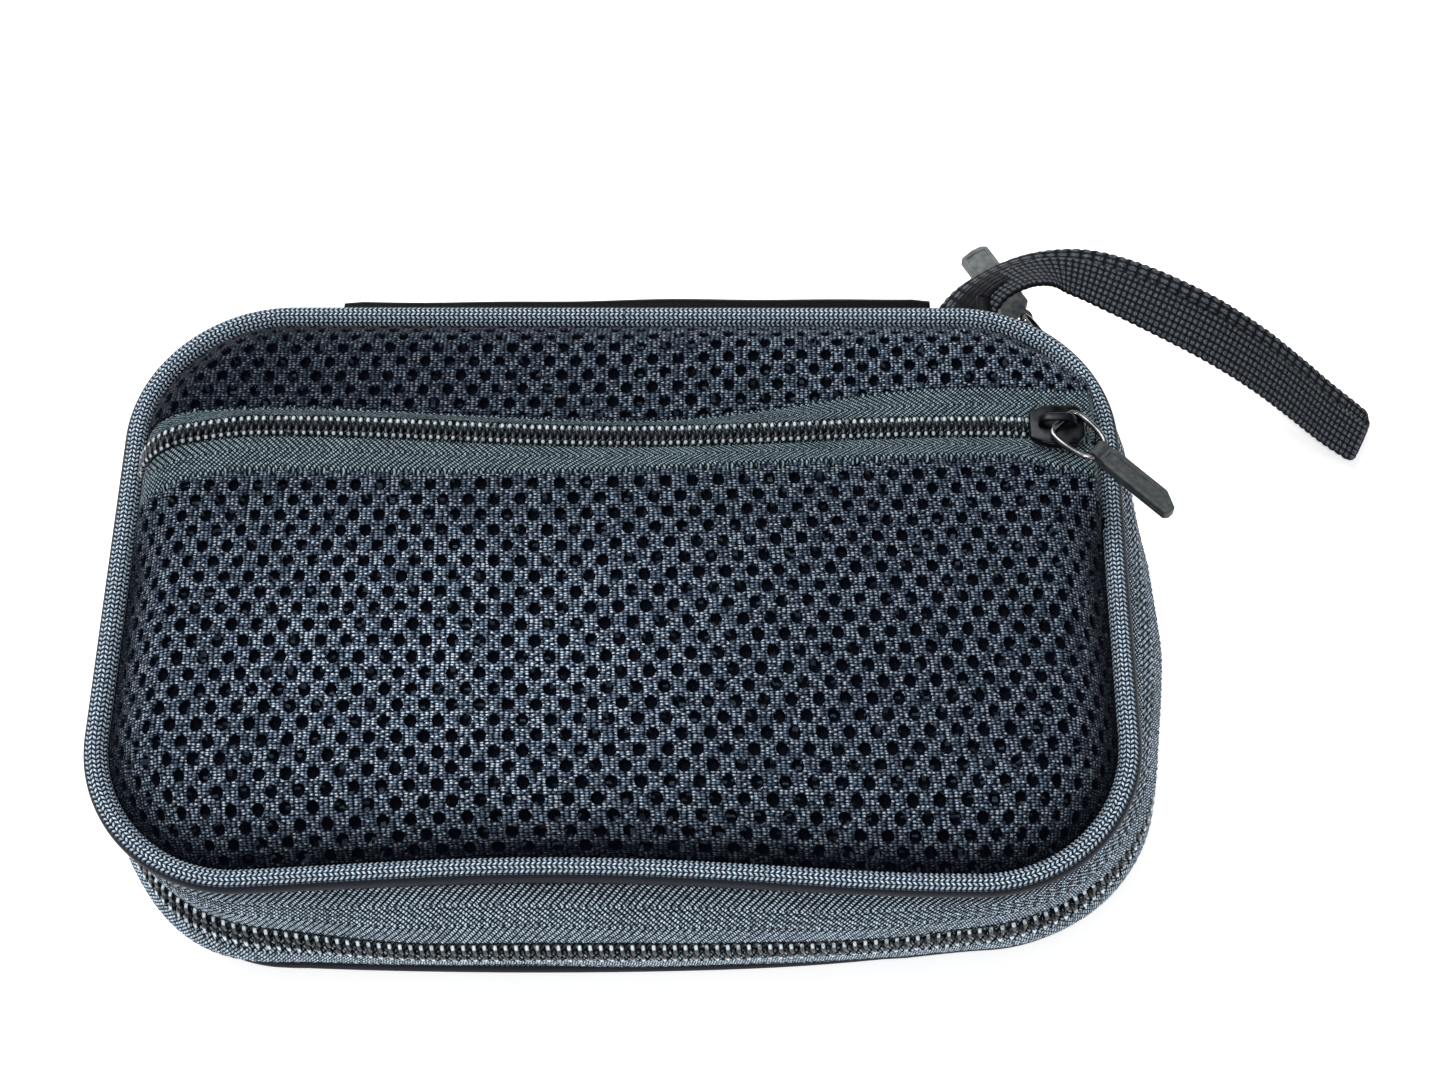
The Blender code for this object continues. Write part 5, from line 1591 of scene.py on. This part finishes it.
def wrist_strap():
    """The far layer out to the fold, round it, and the near layer back, shifted over the far one."""
    far, far_flat, far_normal, far_along = strap_layer(STRAP_FAR_ROOT)
    near, near_flat, near_normal, _ = strap_layer(STRAP_NEAR_ROOT)
    shift = STRAP_SHIFT * smooth(ramp(np.linspace(0.0, 1.0, STRAP_STEPS), *STRAP_SHIFT_OVER))[:, None]
    lower = far - far_normal * STRAP_LAYER - far_flat * shift
    upper = near + near_normal * STRAP_LAYER + near_flat * shift
    turn = np.linspace(0.0, math.pi, 14)[1:-1][:, None]
    fold_out = far_along[-1] * np.sin(turn) - far_normal[-1] * np.cos(turn)
    fold = far[-1] + STRAP_LAYER * fold_out - STRAP_SHIFT * far_flat[-1] * np.cos(turn)
    route = np.vstack((lower, fold, upper[::-1]))
    across = np.vstack((far_flat, np.repeat(far_flat[-1:], 12, axis=0), near_flat[::-1]))
    out = np.vstack((-far_normal, fold_out, near_normal[::-1]))
    run = np.concatenate(([0.0], np.cumsum(np.linalg.norm(np.diff(route, axis=0), axis=1))))
    length = float(run[-1])

    def pick(table, s):
        return np.stack([np.interp(s, run, table[:, k]) for k in range(3)], axis=1)

    def place(u, v):
        s = length * u
        side = squared(np.cos(2 * math.pi * v), STRAP_EDGE_SQUARE)
        face = squared(np.sin(2 * math.pi * v), STRAP_FACE_SQUARE)
        notch = 1.0 - 0.06 * (1.0 - np.abs(np.cos(math.pi * s / STRAP_NOTCH))) * (np.abs(side) > 0.9)
        wide = side * (STRAP_HALF_WIDTH * notch)
        step = s * np.where(s < STRAP_FOLD_AT, STRAP_COARSE, 1.0)
        yarns = np.cos(math.pi * step / WEAVE_LENGTH)
        yarns = yarns * np.cos(math.pi * (side * STRAP_HALF_WIDTH) / WEAVE_WIDTH)
        thick = STRAP_HALF_THICK + WEAVE_HEIGHT * (np.abs(yarns) ** 0.6 - 0.6)
        point = pick(route, s) + pick(across, s) * wide[:, None] + pick(out, s) * (face * thick)[:, None]
        return point.T

    cloth = (length, 4 * STRAP_HALF_WIDTH)
    strap = wrap_grid("strap_loop", STRAP_COLUMNS, STRAP_ROWS, place, cloth, webbing_material, closed=True)
    for item in strap.data.uv_layers["cloth"].data:
        swing = math.cos(2 * math.pi * (item.uv[1] / (4 * STRAP_HALF_WIDTH)))
        item.uv[1] = math.copysign(abs(swing) ** STRAP_EDGE_SQUARE, swing) * STRAP_HALF_WIDTH
    return strap


strap = wrist_strap()
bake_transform(strap)
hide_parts("wrist_strap")


# Studio: a pale floor, soft light from above and from the camera's side, and the camera
# at the photograph's angle.
FOCAL_PIXELS = 2600.0
FRAME_PIXELS = 1445.0
SENSOR = 36.0
CAMERA_PLACE = (0.021, -0.203, 0.414)
CAMERA_PITCH = math.radians(61.0)
CAMERA_YAW = math.radians(-0.96)
CAMERA_ROLL = math.radians(-0.76)
SKY_LIGHT = 0.28
FLOOR_SIZE = 0.9
FLOOR_GLOW = 0.52
FLOOR_TONE = (0.93, 0.93, 0.93, 1.0)
WHITE = (1.0, 1.0, 1.0, 1.0)
bpy.context.scene.view_settings.view_transform = "Standard"

bm = bmesh.new()
bmesh.ops.create_grid(bm, x_segments=1, y_segments=1, size=FLOOR_SIZE)
floor_material, tree = new_finish("floor", 0.9)
shader = tree.nodes["Principled BSDF"]
shader.inputs["Base Color"].default_value = FLOOR_TONE
shader.inputs["Emission Color"].default_value = WHITE
shader.inputs["Emission Strength"].default_value = FLOOR_GLOW
floor = new_piece("floor", bm, floor_material)

world = bpy.data.worlds.new("studio")
bpy.context.scene.world = world
world.use_nodes = True
tree = world.node_tree
seen = add_node(tree, "LightPath").outputs["Is Camera Ray"]
sky = tree.nodes["Background"]
sky.inputs["Color"].default_value = WHITE
feed(tree, sky.inputs["Strength"], figure(tree, "MAXIMUM", seen, SKY_LIGHT))


def soft_light(name, place, target, size, power):
    data = bpy.data.lights.new(name, "AREA")
    data.size = size
    data.energy = power
    light = bpy.data.objects.new(name, data)
    light.location = place
    light.rotation_euler = (Vector(target) - Vector(place)).to_track_quat("-Z", "Y").to_euler()
    bpy.context.scene.collection.objects.link(light)


soft_light("overhead", (-0.35, 0.35, 0.95), (0.0, 0.0, 0.02), 0.8, 11.0)
soft_light("camera_side", (0.02, -0.26, 0.52), (0.0, 0.0, 0.02), 0.06, 1.1)

forward = Vector((math.sin(CAMERA_YAW) * math.cos(CAMERA_PITCH),
                  math.cos(CAMERA_YAW) * math.cos(CAMERA_PITCH), -math.sin(CAMERA_PITCH)))
level = Vector((math.cos(CAMERA_YAW), -math.sin(CAMERA_YAW), 0.0))
upright = level.cross(forward)
right = level * math.cos(CAMERA_ROLL) + upright * math.sin(CAMERA_ROLL)
up = upright * math.cos(CAMERA_ROLL) - level * math.sin(CAMERA_ROLL)
camera_data = bpy.data.cameras.new("camera")
camera_data.sensor_width = SENSOR
camera_data.lens = SENSOR * FOCAL_PIXELS / FRAME_PIXELS
camera_data.clip_start = 0.01
camera = bpy.data.objects.new("camera", camera_data)
pose = Matrix((right, up, -forward)).transposed().to_4x4()
pose.translation = Vector(CAMERA_PLACE)
camera.matrix_world = pose
bpy.context.scene.collection.objects.link(camera)
bpy.context.scene.camera = camera
